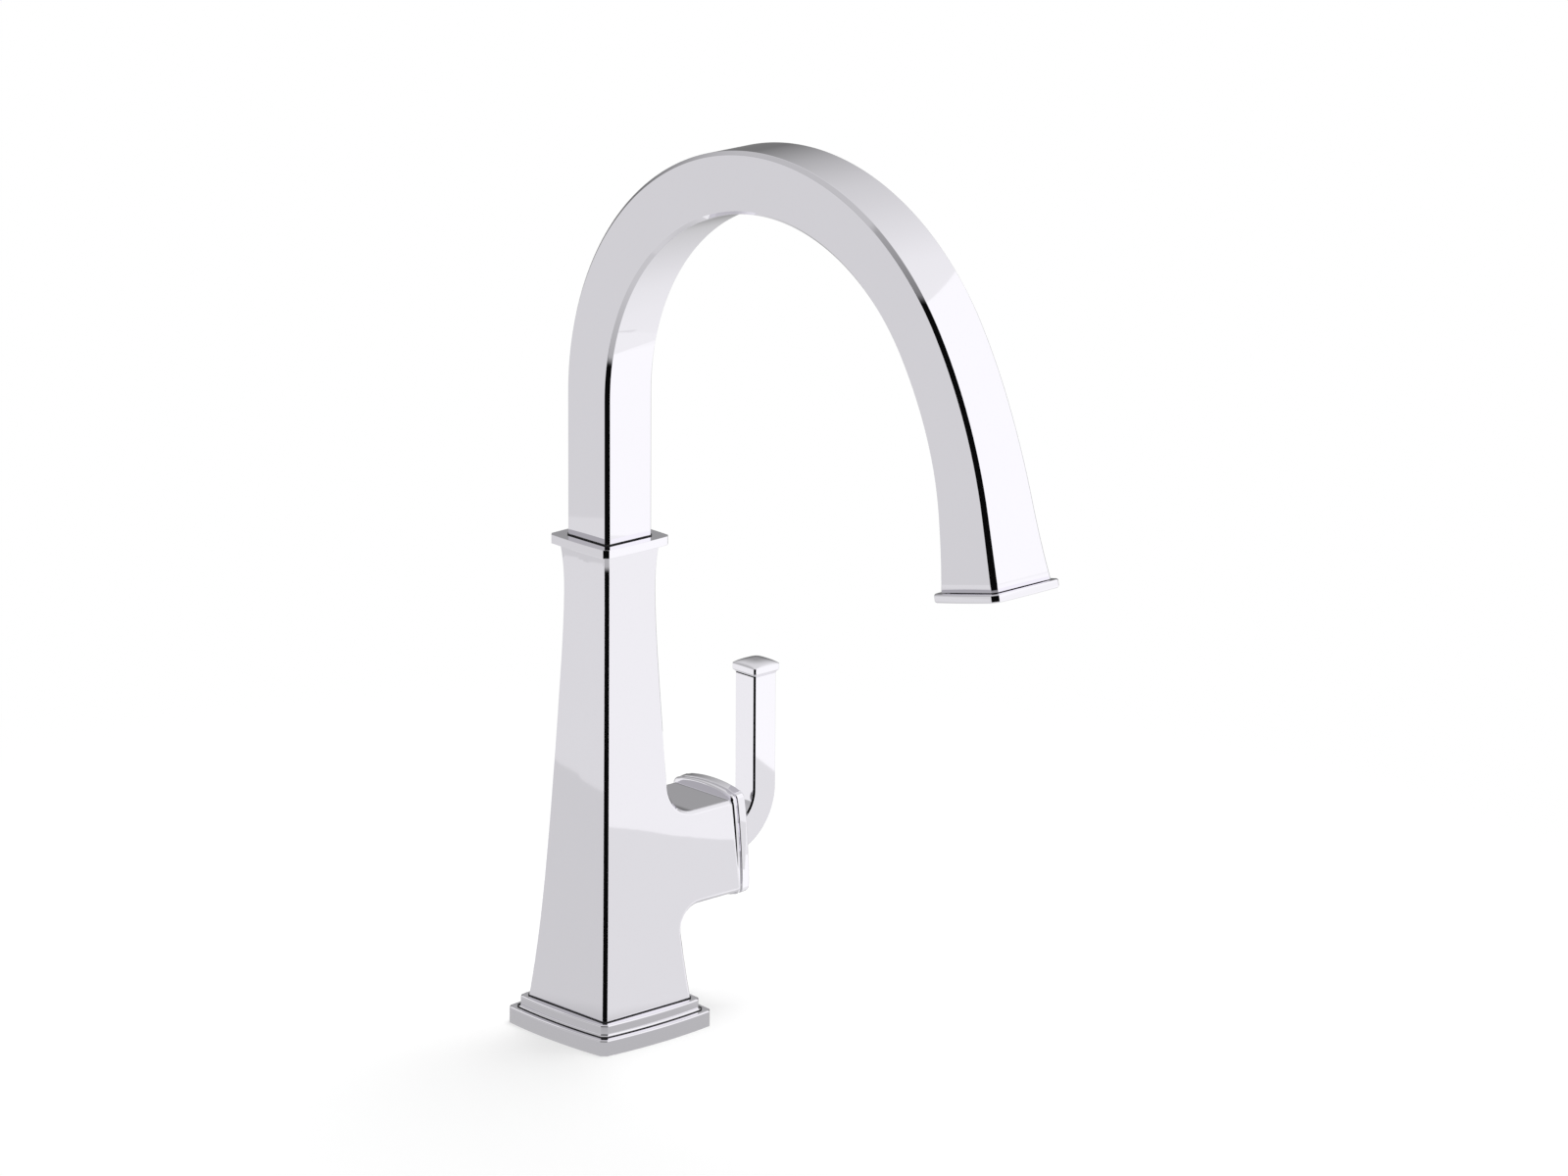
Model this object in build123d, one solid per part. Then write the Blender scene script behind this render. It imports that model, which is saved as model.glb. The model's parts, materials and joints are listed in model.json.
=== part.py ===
from build123d import *

import os
from math import cos, pi, radians, sin, tan

# A single-lever pull-down kitchen faucet. Millimetres, +Z up, origin where the column's axis meets the deck.
# The spout reaches towards -Y and the handle is on +X.

# Fits
RUN_FIT = 0.05
SEAT_FIT = 0.03
EASY_FIT = 0.3
HEAD_FIT = 0.45

# Plinth: a plate and a step with bowed sides and cut corners
PLATE_HALF = 29.3
PLATE_BOW = 1.7
PLATE_HEIGHT = 6.6
STEP_INSET = 3.2
STEP_BOW = 1.3
STEP_HEIGHT = 4.7
PLINTH_CHAMFER = 2.0
LEDGE_COVE = 1.0
EDGE_BREAK = 0.6

# Rubber seal in the plinth's underside
GASKET_HALF = 26.0
GASKET_WIDTH = 4.0
GASKET_DEPTH = 2.0

# Column: half widths of its four faces at heights above the plinth
FOOT_HALF = 23.4
LOW_HEIGHT, LOW_HALF = 34.0, 20.05
MID_HEIGHT, MID_HALF = 74.0, 17.45
HIGH_HEIGHT, HIGH_HALF = 129.0, 14.65
WAIST_HEIGHT, WAIST_HALF = 164.0, 13.38
COVE_HEIGHT, COVE_HALF = 178.0, 13.5
COLUMN_HEIGHT, TOP_HALF = 188.1, 14.4
COLUMN_CHAMFER = 1.35
COLUMN_WALL = 2.3
FLOOR_HEIGHT = 8.0

# Collar under the spout
COLLAR_HALF = 17.05
COLLAR_BOW = 0.5
COLLAR_HEIGHT = 3.5
COLLAR_CHAMFER = 1.75

# Side housing of the valve, parallel to the leaning face of the column
VALVE_HEIGHT = 67.6
HOUSING_REACH = 51.2
HOUSING_HALF = 19.1
HOUSING_LEAN = 4.2
UPPER_FILLET = 13.5
LOWER_FILLET = 10.0

# Fixed flange and handle plate, which share one outline
HUB_WIDTH = 37.0
HUB_TALL = 46.8
HUB_BOW = 0.7
HUB_CORNER = 3.0
FLANGE_THICK = 2.0
HANDLE_GAP = 0.7
HANDLE_THICK = 4.3
HANDLE_BREAK = 0.8
FLANGE_BORE_RADIUS = 9.0
HUB_RADIUS = 8.5
HUB_LENGTH = 7.0

# Lever: a square bar that leaves the handle plate and turns upwards
LEVER_DEPTH = 12.1
LEVER_THICK = 11.8
LEVER_BELOW = 8.6
LEVER_BEND = 13.0
LEVER_REACH = 84.5
LEVER_RISE = 63.3
LEVER_CHAMFER = 0.55
CAP_HALF = 6.95
CAP_FLARE = 1.4
CAP_BAND = 2.3
CAP_CROWN = 2.7

# Valve
CARTRIDGE_RADIUS = 12.5
CARTRIDGE_SEAT_REACH = 12.5
CARTRIDGE_SET_BACK = 8.0
CARTRIDGE_RIM_RADIUS = 13.6
CARTRIDGE_RIM = 3.0
GLAND_LENGTH = 5.0
GLAND_LIP = 2.0
GLAND_BORE_RADIUS = 10.0
HOUSING_BORE_RADIUS = 14.3
STEM_RADIUS = 4.0
STEM_FLAT = 3.0
STEM_INSET = 3.0
STEM_TIP = 1.0
SET_SCREW_RADIUS = 1.5
SET_SCREW_LENGTH = 6.0
SEAL_RADIUS = 3.0
SEAL_THICK = 0.8
SEAL_SPREAD = 6.2
SEAL_COUNT = 3
BLOCK_HALF = 24.0

# Tubes and deck mounting
TUBE_RADIUS = 4.0
TUBE_WALL = 0.8
TUBE_ORBIT = 10.2
TUBE_SOCKET = 10.0
TUBE_DROP = 95.0
TUBE_END_RADIUS = 4.75
TUBE_END = 16.0
SHANK_RADIUS = 16.75
SHANK_WALL = 1.95
SHANK_DROP = 58.0
DECK_THICK = 30.0
WASHER_RADIUS = 26.0
RUBBER_THICK = 3.0
STEEL_THICK = 2.0
NUT_ACROSS = 46.0
NUT_HEIGHT = 10.0
CLAMP_ORBIT = 20.0
CLAMP_COUNT = 3
CLAMP_RADIUS = 1.6
CLAMP_HEAD_RADIUS = 2.4
CLAMP_HEAD = 2.2

# Spout: a square tube that rises, arches over and flares to its mouth
NECK_HALF = 12.18
NECK_CHAMFER = 1.45
NECK_TOP = 261.0
ARCH_RADIUS = 101.6
FALL_RADIUS = 100.0
FALL_ANGLE = 57.2
TIP_RADIUS = 180.0
MOUTH_ANGLE = 78.2
TIP_STRAIGHT = 28.0
TIP_FLARE = 3.2
TIP_CHAMFER = 2.1
TIP_SECTION_COUNT = 9
PLUG_SECTION_COUNT = 3
SPOUT_WALL = 2.0

# Swivel inside the column's top
SLEEVE_RADIUS = 9.5
SLEEVE_BORE_RADIUS = 6.6
SLEEVE_DEPTH = 46.0
SLEEVE_HEAD = 20.0
BUSH_RADIUS = 11.1
BUSH_LENGTH = 13.0
BUSH_FLANGE = 0.45
RING_THICK = 2.4
RING_SPACING = 7.0
CLIP_THICK = 1.2
CLIP_RADIUS = 10.6

# Hose and spray head
HOSE_RADIUS = 5.2
HOSE_DROP = 62.0
COUPLING_LENGTH = 16.0
COUPLING_STEP = 0.8
HEAD_DEPTH = 15.0
HEAD_CHAMBER_RADIUS = 7.5
NOSE_RADIUS = 6.6
NOSE_LENGTH = 6.5
NOSE_BORE_RADIUS = 3.5
HOSE_NUT_RADIUS = 6.4
KEEPER_RADIUS = 9.4
KEEPER_THICK = 1.5
DOCK_LENGTH = 11.0
MAGNET_RADIUS = 9.0
MAGNET_THICK = 3.0
RIM_GAP = 0.35
RIM_OVERHANG = 2.6
RIM_BOW = 0.5
RIM_THICK = 3.3
RIM_CHAMFER = 2.1
FACE_RADIUS = 11.3
FACE_THICK = 1.6
FACE_RECESS = 0.5
AERATOR_RADIUS = 4.2
AERATOR_LENGTH = 7.0
NOZZLE_RADIUS = 0.8
NOZZLE_PROUD = 0.7
INNER_NOZZLE_COUNT = 8
INNER_NOZZLE_ORBIT = 6.4
OUTER_NOZZLE_COUNT = 14
OUTER_NOZZLE_ORBIT = 9.4

# Levels and planes that follow from the sizes above
STEP_HALF = PLATE_HALF - STEP_INSET
PLINTH_TOP = PLATE_HEIGHT + STEP_HEIGHT
COLLAR_BOTTOM = PLINTH_TOP + COLUMN_HEIGHT
COLLAR_TOP = COLLAR_BOTTOM + COLLAR_HEIGHT
NECK_BOTTOM = COLLAR_TOP + BUSH_FLANGE + RUN_FIT
SLEEVE_BOTTOM = COLLAR_TOP - SLEEVE_DEPTH
LOWER_BUSH_BOTTOM = SLEEVE_BOTTOM + 2 * CLIP_THICK
CAVITY_TOP = LOWER_BUSH_BOTTOM - SEAT_FIT
SHANK_BORE_RADIUS = SHANK_RADIUS - SHANK_WALL
HOUSING_BOTTOM = VALVE_HEIGHT - HOUSING_HALF
HOUSING_TOP = VALVE_HEIGHT + HOUSING_HALF
BLOCK_BOTTOM = VALVE_HEIGHT - BLOCK_HALF
BLOCK_TOP = VALVE_HEIGHT + BLOCK_HALF
LEVER_LOW = VALVE_HEIGHT - LEVER_BELOW
LEVER_TOP = VALVE_HEIGHT + LEVER_RISE
TUBE_TURNS = {"hot_tube": 90, "cold_tube": 270, "outlet_tube": 180}

# Distances out along the valve's axis from the housing's end
HANDLE_BACK = FLANGE_THICK + HANDLE_GAP
HANDLE_FACE = HANDLE_BACK + HANDLE_THICK
CARTRIDGE_SEAT = CARTRIDGE_SEAT_REACH - HOUSING_REACH
STEM_FOOT = (CARTRIDGE_SEAT - CARTRIDGE_SET_BACK) / 2

# Distances along the mouth's axis from the spout's end, out of the spout
HEAD_TOP = -HEAD_DEPTH
NOSE_TOP = HEAD_TOP - NOSE_LENGTH
HOSE_END = -TIP_STRAIGHT
DOCK_BOTTOM = HEAD_TOP - KEEPER_THICK - EASY_FIT
RIM_FACE = RIM_GAP + RIM_THICK
SPRAY_LEVEL = RIM_FACE - FACE_RECESS

# A length beyond everything, and how close counts as touching when edges are picked
FAR = 400.0
NEAR = 0.01

VALVE = Plane(
    origin=(HOUSING_REACH, 0, VALVE_HEIGHT),
    x_dir=(0, 1, 0),
    z_dir=(cos(radians(HOUSING_LEAN)), 0, sin(radians(HOUSING_LEAN))),
)
ARCH_AXIS = Axis((0, -ARCH_RADIUS, NECK_TOP), (1, 0, 0))
CROWN = Plane(origin=(0, -ARCH_RADIUS, NECK_TOP + ARCH_RADIUS), x_dir=(1, 0, 0), z_dir=(0, -1, 0))
FALL_AXIS = Axis((0, -ARCH_RADIUS, NECK_TOP + ARCH_RADIUS - FALL_RADIUS), (1, 0, 0))
TIP_AXIS = Axis(
    (
        0,
        FALL_AXIS.position.Y + (TIP_RADIUS - FALL_RADIUS) * sin(radians(FALL_ANGLE)),
        FALL_AXIS.position.Z - (TIP_RADIUS - FALL_RADIUS) * cos(radians(FALL_ANGLE)),
    ),
    (1, 0, 0),
)
BEND_LENGTH = TIP_RADIUS * radians(MOUTH_ANGLE - FALL_ANGLE)
TIP_LENGTH = BEND_LENGTH + TIP_STRAIGHT


def tip_plane(run):
    """The plane square to the spout at a run along its tip: a gentle bend and then a straight end."""
    bend = min(run, BEND_LENGTH)
    angle = radians(FALL_ANGLE) + bend / TIP_RADIUS
    plane = Plane(
        origin=(
            0,
            TIP_AXIS.position.Y - TIP_RADIUS * sin(angle),
            TIP_AXIS.position.Z + TIP_RADIUS * cos(angle),
        ),
        x_dir=(1, 0, 0),
        z_dir=(0, -cos(angle), -sin(angle)),
    )
    return plane.offset(run - bend)


MOUTH = tip_plane(TIP_LENGTH)


def cut_square(half, corner):
    """A square outline with straight cut corners."""
    near = half - corner
    points = [(near, -half), (half, -near), (half, near), (near, half)]
    points += [(-x, -y) for x, y in points]
    return make_face(Polyline(*points, close=True))


def bowed_square(half, bow, corner):
    """A square outline whose sides swell by bow at their middles, with cut corners."""
    near = half - corner
    side = ThreePointArc((-near, -half), (0, -half - bow), (near, -half))
    cut = Line((near, -half), (half, -near))
    edges = [Rot(0, 0, 90 * turn) * edge for turn in range(4) for edge in (side, cut)]
    return make_face(edges)


def bowed_plate(half_wide, half_tall, bow, corner):
    """A rectangle with bowed sides and rounded corners, for the handle's flange and plate."""
    right, top = half_wide - bow, half_tall - bow
    edges = [
        ThreePointArc((-right, -top), (0, -half_tall), (right, -top)),
        ThreePointArc((right, -top), (half_wide, 0), (right, top)),
        ThreePointArc((right, top), (0, half_tall), (-right, top)),
        ThreePointArc((-right, top), (-half_wide, 0), (-right, -top)),
    ]
    face = make_face(edges)
    return fillet(face.vertices(), corner)


def rod(radius, low, high):
    """A round bar on the local Z axis from low to high."""
    return Pos(0, 0, low) * Cylinder(radius, high - low, align=(Align.CENTER, Align.CENTER, Align.MIN))


def tube(radius, bore, low, high):
    """A round tube on the local Z axis from low to high."""
    return rod(radius, low, high) - rod(bore, low, high)


def block(section, low, high):
    """A bar of the given flat section on the local Z axis from low to high."""
    return extrude(Pos(0, 0, low) * section, amount=high - low)


def ring_edges(part, level):
    """The edges of a solid that lie in one level plane of its own frame."""
    return part.edges().filter_by_position(Axis.Z, level - NEAR, level + NEAR)


def base_plinth():
    plate = block(bowed_square(PLATE_HALF, PLATE_BOW, PLINTH_CHAMFER), 0, PLATE_HEIGHT)
    plate = chamfer(ring_edges(plate, PLATE_HEIGHT), EDGE_BREAK)
    step = block(bowed_square(STEP_HALF, STEP_BOW, PLINTH_CHAMFER), 0, PLINTH_TOP)
    step = chamfer(ring_edges(step, PLINTH_TOP), EDGE_BREAK)
    plinth = plate + step
    inner = STEP_HALF + STEP_BOW + EDGE_BREAK / 2
    foot = ring_edges(plinth, PLATE_HEIGHT).filter_by(
        lambda edge: max(abs(edge.center().X), abs(edge.center().Y)) < inner
    )
    plinth = chamfer(foot, LEDGE_COVE)
    plinth -= rod(SHANK_RADIUS + EASY_FIT, 0, PLINTH_TOP)
    return plinth - gasket_ring(SEAT_FIT)


def gasket_ring(grow):
    """The seal's ring, grown by a clearance to cut its groove."""
    outer = cut_square(GASKET_HALF + grow, PLINTH_CHAMFER)
    inner = cut_square(GASKET_HALF - GASKET_WIDTH - grow, PLINTH_CHAMFER)
    return block(outer - inner, 0, GASKET_DEPTH + grow)


def column_profile(inset, low, high):
    """One face of the column seen square on, drawn inwards by inset: local X is across, local Y is height."""
    stations = [
        (FOOT_HALF, 0),
        (LOW_HALF, LOW_HEIGHT),
        (MID_HALF, MID_HEIGHT),
        (HIGH_HALF, HIGH_HEIGHT),
        (WAIST_HALF, WAIST_HEIGHT),
        (COVE_HALF, COVE_HEIGHT),
        (TOP_HALF, COLUMN_HEIGHT),
    ]
    side = Spline(*[(half - inset, PLINTH_TOP + height) for half, height in stations])
    bottom, top = side @ 0, side @ 1
    edges = [
        side,
        Line(top, (-top.X, top.Y)),
        mirror(side, about=Plane.YZ),
        Line((-bottom.X, bottom.Y), bottom),
    ]
    band = Pos(0, (low + high) / 2) * Rectangle(4 * FOOT_HALF, high - low)
    return make_face(edges) & band


def column_core(inset, low, high):
    """The square tapered column, drawn inwards by inset, between two heights."""
    profile = column_profile(inset, low, high)
    front = extrude(Plane.XZ * profile, amount=FAR, both=True)
    return front & extrude(Plane.YZ * profile, amount=FAR, both=True)


def housing_end(height):
    """How far the housing's leaning end plane stands from the column's axis at a height."""
    return HOUSING_REACH - (height - VALVE_HEIGHT) * tan(radians(HOUSING_LEAN))


def column_body():
    profile = column_profile(0, PLINTH_TOP, COLLAR_BOTTOM)
    arm = make_face(
        Polyline(
            (0, HOUSING_BOTTOM),
            (housing_end(HOUSING_BOTTOM), HOUSING_BOTTOM),
            (housing_end(HOUSING_TOP), HOUSING_TOP),
            (0, HOUSING_TOP),
            close=True,
        )
    )
    front = extrude(Plane.XZ * (profile + arm), amount=2 * FOOT_HALF, both=True)
    front = fillet(inner_corner(front, HOUSING_TOP), UPPER_FILLET)
    front = fillet(inner_corner(front, HOUSING_BOTTOM), LOWER_FILLET)
    side = extrude(Plane.YZ * profile, amount=2 * HOUSING_REACH, both=True)
    body = front & side
    body = chamfer(corner_edges(body), COLUMN_CHAMFER)
    body += block(bowed_square(COLLAR_HALF, COLLAR_BOW, COLLAR_CHAMFER), COLLAR_BOTTOM, COLLAR_TOP)
    body -= column_core(COLUMN_WALL, PLINTH_TOP + FLOOR_HEIGHT, CAVITY_TOP)
    body -= rod(SHANK_RADIUS + SEAT_FIT, PLINTH_TOP, PLINTH_TOP + FLOOR_HEIGHT)
    body -= rod(BUSH_RADIUS + SEAT_FIT, CAVITY_TOP, COLLAR_TOP)
    return body - VALVE * rod(HOUSING_BORE_RADIUS, -HOUSING_REACH, 0)


def inner_corner(front, height):
    """The edge where the housing leaves the column at a height."""
    edges = front.edges().filter_by(Axis.Y).filter_by_position(Axis.Z, height - NEAR, height + NEAR)
    return edges.filter_by_position(Axis.X, NEAR, HOUSING_REACH / 2)


def corner_edges(body):
    """The long corner edges of the column and its housing, without the outlines of its flat ends."""

    def on_end(point):
        distances = (VALVE.to_local_coords(point).Z, point.Z - PLINTH_TOP, point.Z - COLLAR_BOTTOM)
        return any(abs(distance) < NEAR for distance in distances)

    def is_corner(edge):
        return not all(on_end(edge @ place) for place in (0, 0.5, 1))

    return body.edges().filter_by(is_corner)


def deck_gasket():
    return gasket_ring(0)


def mounting_shank():
    return tube(SHANK_RADIUS, SHANK_BORE_RADIUS, -SHANK_DROP, PLINTH_TOP + FLOOR_HEIGHT)


def rubber_washer():
    return tube(WASHER_RADIUS, SHANK_RADIUS + EASY_FIT, -DECK_THICK - RUBBER_THICK, -DECK_THICK)


def clamp_washer():
    top = -DECK_THICK - RUBBER_THICK
    return tube(WASHER_RADIUS, SHANK_RADIUS + EASY_FIT, top - STEEL_THICK, top)


def mounting_nut():
    top = -DECK_THICK - RUBBER_THICK - STEEL_THICK
    nut = block(RegularPolygon(NUT_ACROSS / 2, 6, major_radius=False), top - NUT_HEIGHT, top)
    nut -= rod(SHANK_RADIUS + SEAT_FIT, top - NUT_HEIGHT, top)
    for place in PolarLocations(CLAMP_ORBIT, CLAMP_COUNT):
        nut -= place * rod(CLAMP_RADIUS + SEAT_FIT, top - NUT_HEIGHT, top)
    return nut


def clamp_screws():
    top = -DECK_THICK - RUBBER_THICK - STEEL_THICK
    screw = rod(CLAMP_RADIUS, top - NUT_HEIGHT, top)
    screw += rod(CLAMP_HEAD_RADIUS, top - NUT_HEIGHT - CLAMP_HEAD, top - NUT_HEIGHT)
    return Compound(children=[place * screw for place in PolarLocations(CLAMP_ORBIT, CLAMP_COUNT)])


def tube_place(turn):
    """The axis of one of the three tubes that run beside the hose."""
    angle = radians(turn)
    return Pos(TUBE_ORBIT * cos(angle), TUBE_ORBIT * sin(angle), 0)


def supply_tube(turn):
    """A copper tube from the valve block down through the shank, with a thicker end for a joint."""
    body = rod(TUBE_RADIUS, -TUBE_DROP, BLOCK_BOTTOM + TUBE_SOCKET)
    body += rod(TUBE_END_RADIUS, -TUBE_DROP, -TUBE_DROP + TUBE_END)
    bore = rod(TUBE_RADIUS - TUBE_WALL, -TUBE_DROP, BLOCK_BOTTOM + TUBE_SOCKET)
    return tube_place(turn) * (body - bore)


def valve_block():
    body = column_core(COLUMN_WALL + EASY_FIT, BLOCK_BOTTOM, BLOCK_TOP)
    body -= rod(HOSE_RADIUS + EASY_FIT, BLOCK_BOTTOM, BLOCK_TOP)
    for turn in TUBE_TURNS.values():
        socket = rod(TUBE_RADIUS + SEAT_FIT, BLOCK_BOTTOM, BLOCK_BOTTOM + TUBE_SOCKET)
        body -= tube_place(turn) * socket
    body -= VALVE * rod(CARTRIDGE_RADIUS + SEAT_FIT, CARTRIDGE_SEAT - SEAL_THICK / 2, 0)
    for place in PolarLocations(SEAL_SPREAD, SEAL_COUNT):
        body -= VALVE * place * rod(SEAL_RADIUS + SEAT_FIT, CARTRIDGE_SEAT - SEAL_THICK, CARTRIDGE_SEAT)
    return body


def cartridge_seals():
    ring = tube(SEAL_RADIUS, SEAL_RADIUS / 2, CARTRIDGE_SEAT - SEAL_THICK, CARTRIDGE_SEAT)
    return Compound(children=[VALVE * place * ring for place in PolarLocations(SEAL_SPREAD, SEAL_COUNT)])


def cartridge_body():
    top = -CARTRIDGE_SET_BACK
    body = rod(CARTRIDGE_RADIUS, CARTRIDGE_SEAT, top)
    body += rod(CARTRIDGE_RIM_RADIUS, top - GLAND_LENGTH - CARTRIDGE_RIM, top - GLAND_LENGTH)
    return VALVE * (body - rod(STEM_RADIUS + RUN_FIT, STEM_FOOT - STEM_INSET, top))


def cartridge_nut():
    top = -CARTRIDGE_SET_BACK
    ring = tube(HOUSING_BORE_RADIUS - SEAT_FIT, CARTRIDGE_RADIUS + SEAT_FIT, top - GLAND_LENGTH, top)
    return VALVE * (ring + tube(HOUSING_BORE_RADIUS - SEAT_FIT, GLAND_BORE_RADIUS, top, top + GLAND_LIP))


def hub_outline():
    return bowed_plate(HUB_WIDTH / 2, HUB_TALL / 2, HUB_BOW, HUB_CORNER)


def trim_flange():
    plate = block(hub_outline(), 0, FLANGE_THICK)
    plate = chamfer(ring_edges(plate, FLANGE_THICK), HANDLE_BREAK)
    return VALVE * (plate - rod(FLANGE_BORE_RADIUS, 0, FLANGE_THICK))


def handle_plate():
    plate = block(hub_outline(), HANDLE_BACK, HANDLE_FACE)
    plate = chamfer(ring_edges(plate, HANDLE_FACE), HANDLE_BREAK)
    plate += rod(HUB_RADIUS, HANDLE_BACK - HUB_LENGTH, HANDLE_BACK)
    plate -= stem_shape(SEAT_FIT, HANDLE_BACK - HUB_LENGTH, HANDLE_FACE - STEM_TIP)
    return VALVE * (plate - set_screw_bar(SET_SCREW_RADIUS + SEAT_FIT, HUB_TALL))


def stem_shape(grow, low, high):
    """The valve stem's round bar with one flat, grown by a clearance to cut its socket."""
    flat = Pos(0, -STEM_FLAT - grow - STEM_RADIUS, (low + high) / 2)
    return rod(STEM_RADIUS + grow, low, high) - flat * Box(4 * STEM_RADIUS, 2 * STEM_RADIUS, high - low)


def set_screw_bar(radius, length):
    """A bar across the stem, from its flat down through the lower rim of the handle plate."""
    bar = rod(radius, STEM_FLAT + SEAT_FIT, length)
    return Pos(0, 0, (HANDLE_BACK + HANDLE_FACE) / 2) * Rot(90, 0, 0) * bar


def valve_stem():
    foot = rod(STEM_RADIUS, STEM_FOOT, HANDLE_BACK - HUB_LENGTH)
    return VALVE * (foot + stem_shape(0, HANDLE_BACK - HUB_LENGTH, HANDLE_FACE - STEM_TIP - SEAT_FIT))


def set_screw():
    return VALVE * set_screw_bar(SET_SCREW_RADIUS, STEM_FLAT + SET_SCREW_LENGTH)


def lever():
    inner_x = LEVER_REACH - LEVER_THICK
    inner_z = LEVER_LOW + LEVER_THICK
    centre_x, centre_z = inner_x - LEVER_BEND, inner_z + LEVER_BEND
    outer_bend = LEVER_BEND + LEVER_THICK
    diagonal = cos(pi / 4)
    edges = [
        Line((0, LEVER_LOW), (centre_x, LEVER_LOW)),
        ThreePointArc(
            (centre_x, LEVER_LOW),
            (centre_x + outer_bend * diagonal, centre_z - outer_bend * diagonal),
            (LEVER_REACH, centre_z),
        ),
        Line((LEVER_REACH, centre_z), (LEVER_REACH, LEVER_TOP)),
        Line((LEVER_REACH, LEVER_TOP), (inner_x, LEVER_TOP)),
        Line((inner_x, LEVER_TOP), (inner_x, centre_z)),
        ThreePointArc(
            (inner_x, centre_z),
            (centre_x + LEVER_BEND * diagonal, centre_z - LEVER_BEND * diagonal),
            (centre_x, inner_z),
        ),
        Line((centre_x, inner_z), (0, inner_z)),
        Line((0, inner_z), (0, LEVER_LOW)),
    ]
    bar = extrude(Plane.XZ * make_face(edges), amount=LEVER_DEPTH / 2, both=True)
    sides = bar.edges().filter_by(lambda edge: abs(edge.center().Y) > LEVER_DEPTH / 2 - NEAR)
    long_edges = sides.filter_by(lambda edge: edge.center().Z < LEVER_TOP - NEAR and edge.center().X > NEAR)
    bar = chamfer(long_edges, LEVER_CHAMFER)
    return bar - VALVE * block(Rectangle(FAR, FAR), -FAR, HANDLE_FACE)


def lever_cap():
    """A flared neck, a square band and a pillow crown on the lever's top."""
    half_x, half_y = LEVER_THICK / 2, LEVER_DEPTH / 2
    foot = Rectangle(2 * half_x, 2 * half_y)
    band = cut_square(CAP_HALF, LEVER_CHAMFER)
    flare = loft([foot, Pos(0, 0, CAP_FLARE) * band])
    arch = make_face(
        [
            Line((-CAP_HALF, -CAP_BAND), (CAP_HALF, -CAP_BAND)),
            Line((CAP_HALF, -CAP_BAND), (CAP_HALF, 0)),
            ThreePointArc((CAP_HALF, 0), (0, CAP_CROWN), (-CAP_HALF, 0)),
            Line((-CAP_HALF, 0), (-CAP_HALF, -CAP_BAND)),
        ]
    )
    crown = extrude(Plane.XZ * arch, amount=CAP_HALF, both=True)
    crown &= extrude(Plane.YZ * arch, amount=CAP_HALF, both=True)
    crown &= block(band, -CAP_BAND, CAP_CROWN)
    cap = flare + Pos(0, 0, CAP_FLARE + CAP_BAND) * crown
    return Pos(LEVER_REACH - half_x, 0, LEVER_TOP) * cap


def tip_half(run):
    """Half width of the spout at a run along its tip."""
    return NECK_HALF + TIP_FLARE * (run / TIP_LENGTH) ** 3


def tip_body(inset, low, high, count):
    """The flared tip of the spout, drawn inwards by inset, between two runs along it."""
    sections = []
    for place in range(count):
        run = low + (high - low) * place / (count - 1)
        corner = NECK_CHAMFER + (TIP_CHAMFER - NECK_CHAMFER) * run / TIP_LENGTH
        sections.append(tip_plane(run) * cut_square(tip_half(run) - inset, corner))
    return loft(sections)


def neck_section(inset):
    return cut_square(NECK_HALF - inset, NECK_CHAMFER)


def spout_form(inset, low):
    """The spout's outer form, or with an inset its hollow, from a height in the neck to the mouth."""
    neck = block(neck_section(inset), low, NECK_TOP)
    rise = revolve(Pos(0, 0, NECK_TOP) * neck_section(inset), axis=ARCH_AXIS, revolution_arc=90)
    fall = revolve(CROWN * neck_section(inset), axis=FALL_AXIS, revolution_arc=FALL_ANGLE)
    return neck + rise + fall + tip_body(inset, 0, TIP_LENGTH, TIP_SECTION_COUNT)


def spout_shell():
    return spout_form(0, NECK_BOTTOM) - spout_form(SPOUT_WALL, NECK_BOTTOM)


def spout_sleeve():
    head = block(neck_section(SPOUT_WALL + SEAT_FIT), NECK_BOTTOM, NECK_BOTTOM + SLEEVE_HEAD)
    sleeve = head + rod(SLEEVE_RADIUS, SLEEVE_BOTTOM, NECK_BOTTOM)
    sleeve -= rod(SLEEVE_BORE_RADIUS, SLEEVE_BOTTOM, NECK_BOTTOM + SLEEVE_HEAD)
    for level in ring_levels():
        groove = RING_THICK / 2 + SEAT_FIT
        sleeve -= tube(BUSH_RADIUS, ring_root() - SEAT_FIT, level - groove, level + groove)
    clip = SLEEVE_BOTTOM + CLIP_THICK
    return sleeve - tube(BUSH_RADIUS, SLEEVE_RADIUS - CLIP_THICK, clip - SEAT_FIT, clip + CLIP_THICK)


def ring_levels():
    """Heights of the two seal rings, midway between the bushes."""
    middle = (LOWER_BUSH_BOTTOM + COLLAR_TOP) / 2
    return (middle - RING_SPACING / 2, middle + RING_SPACING / 2)


def ring_root():
    return BUSH_RADIUS - RUN_FIT - RING_THICK


def sleeve_rings():
    rings = []
    for level in ring_levels():
        low, high = level - RING_THICK / 2, level + RING_THICK / 2
        ring = tube(BUSH_RADIUS - RUN_FIT, ring_root(), low, high)
        outer = ring.edges().filter_by(GeomType.CIRCLE)
        rings.append(fillet(outer, RING_THICK / 3))
    return Compound(children=rings)


def retaining_clip():
    low = SLEEVE_BOTTOM + CLIP_THICK
    ring = tube(CLIP_RADIUS, SLEEVE_RADIUS - CLIP_THICK + SEAT_FIT, low, low + CLIP_THICK - RUN_FIT)
    return ring - Pos(0, CLIP_RADIUS, low) * Box(CLIP_THICK * 3, 2 * CLIP_RADIUS, 3 * CLIP_THICK)


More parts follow.
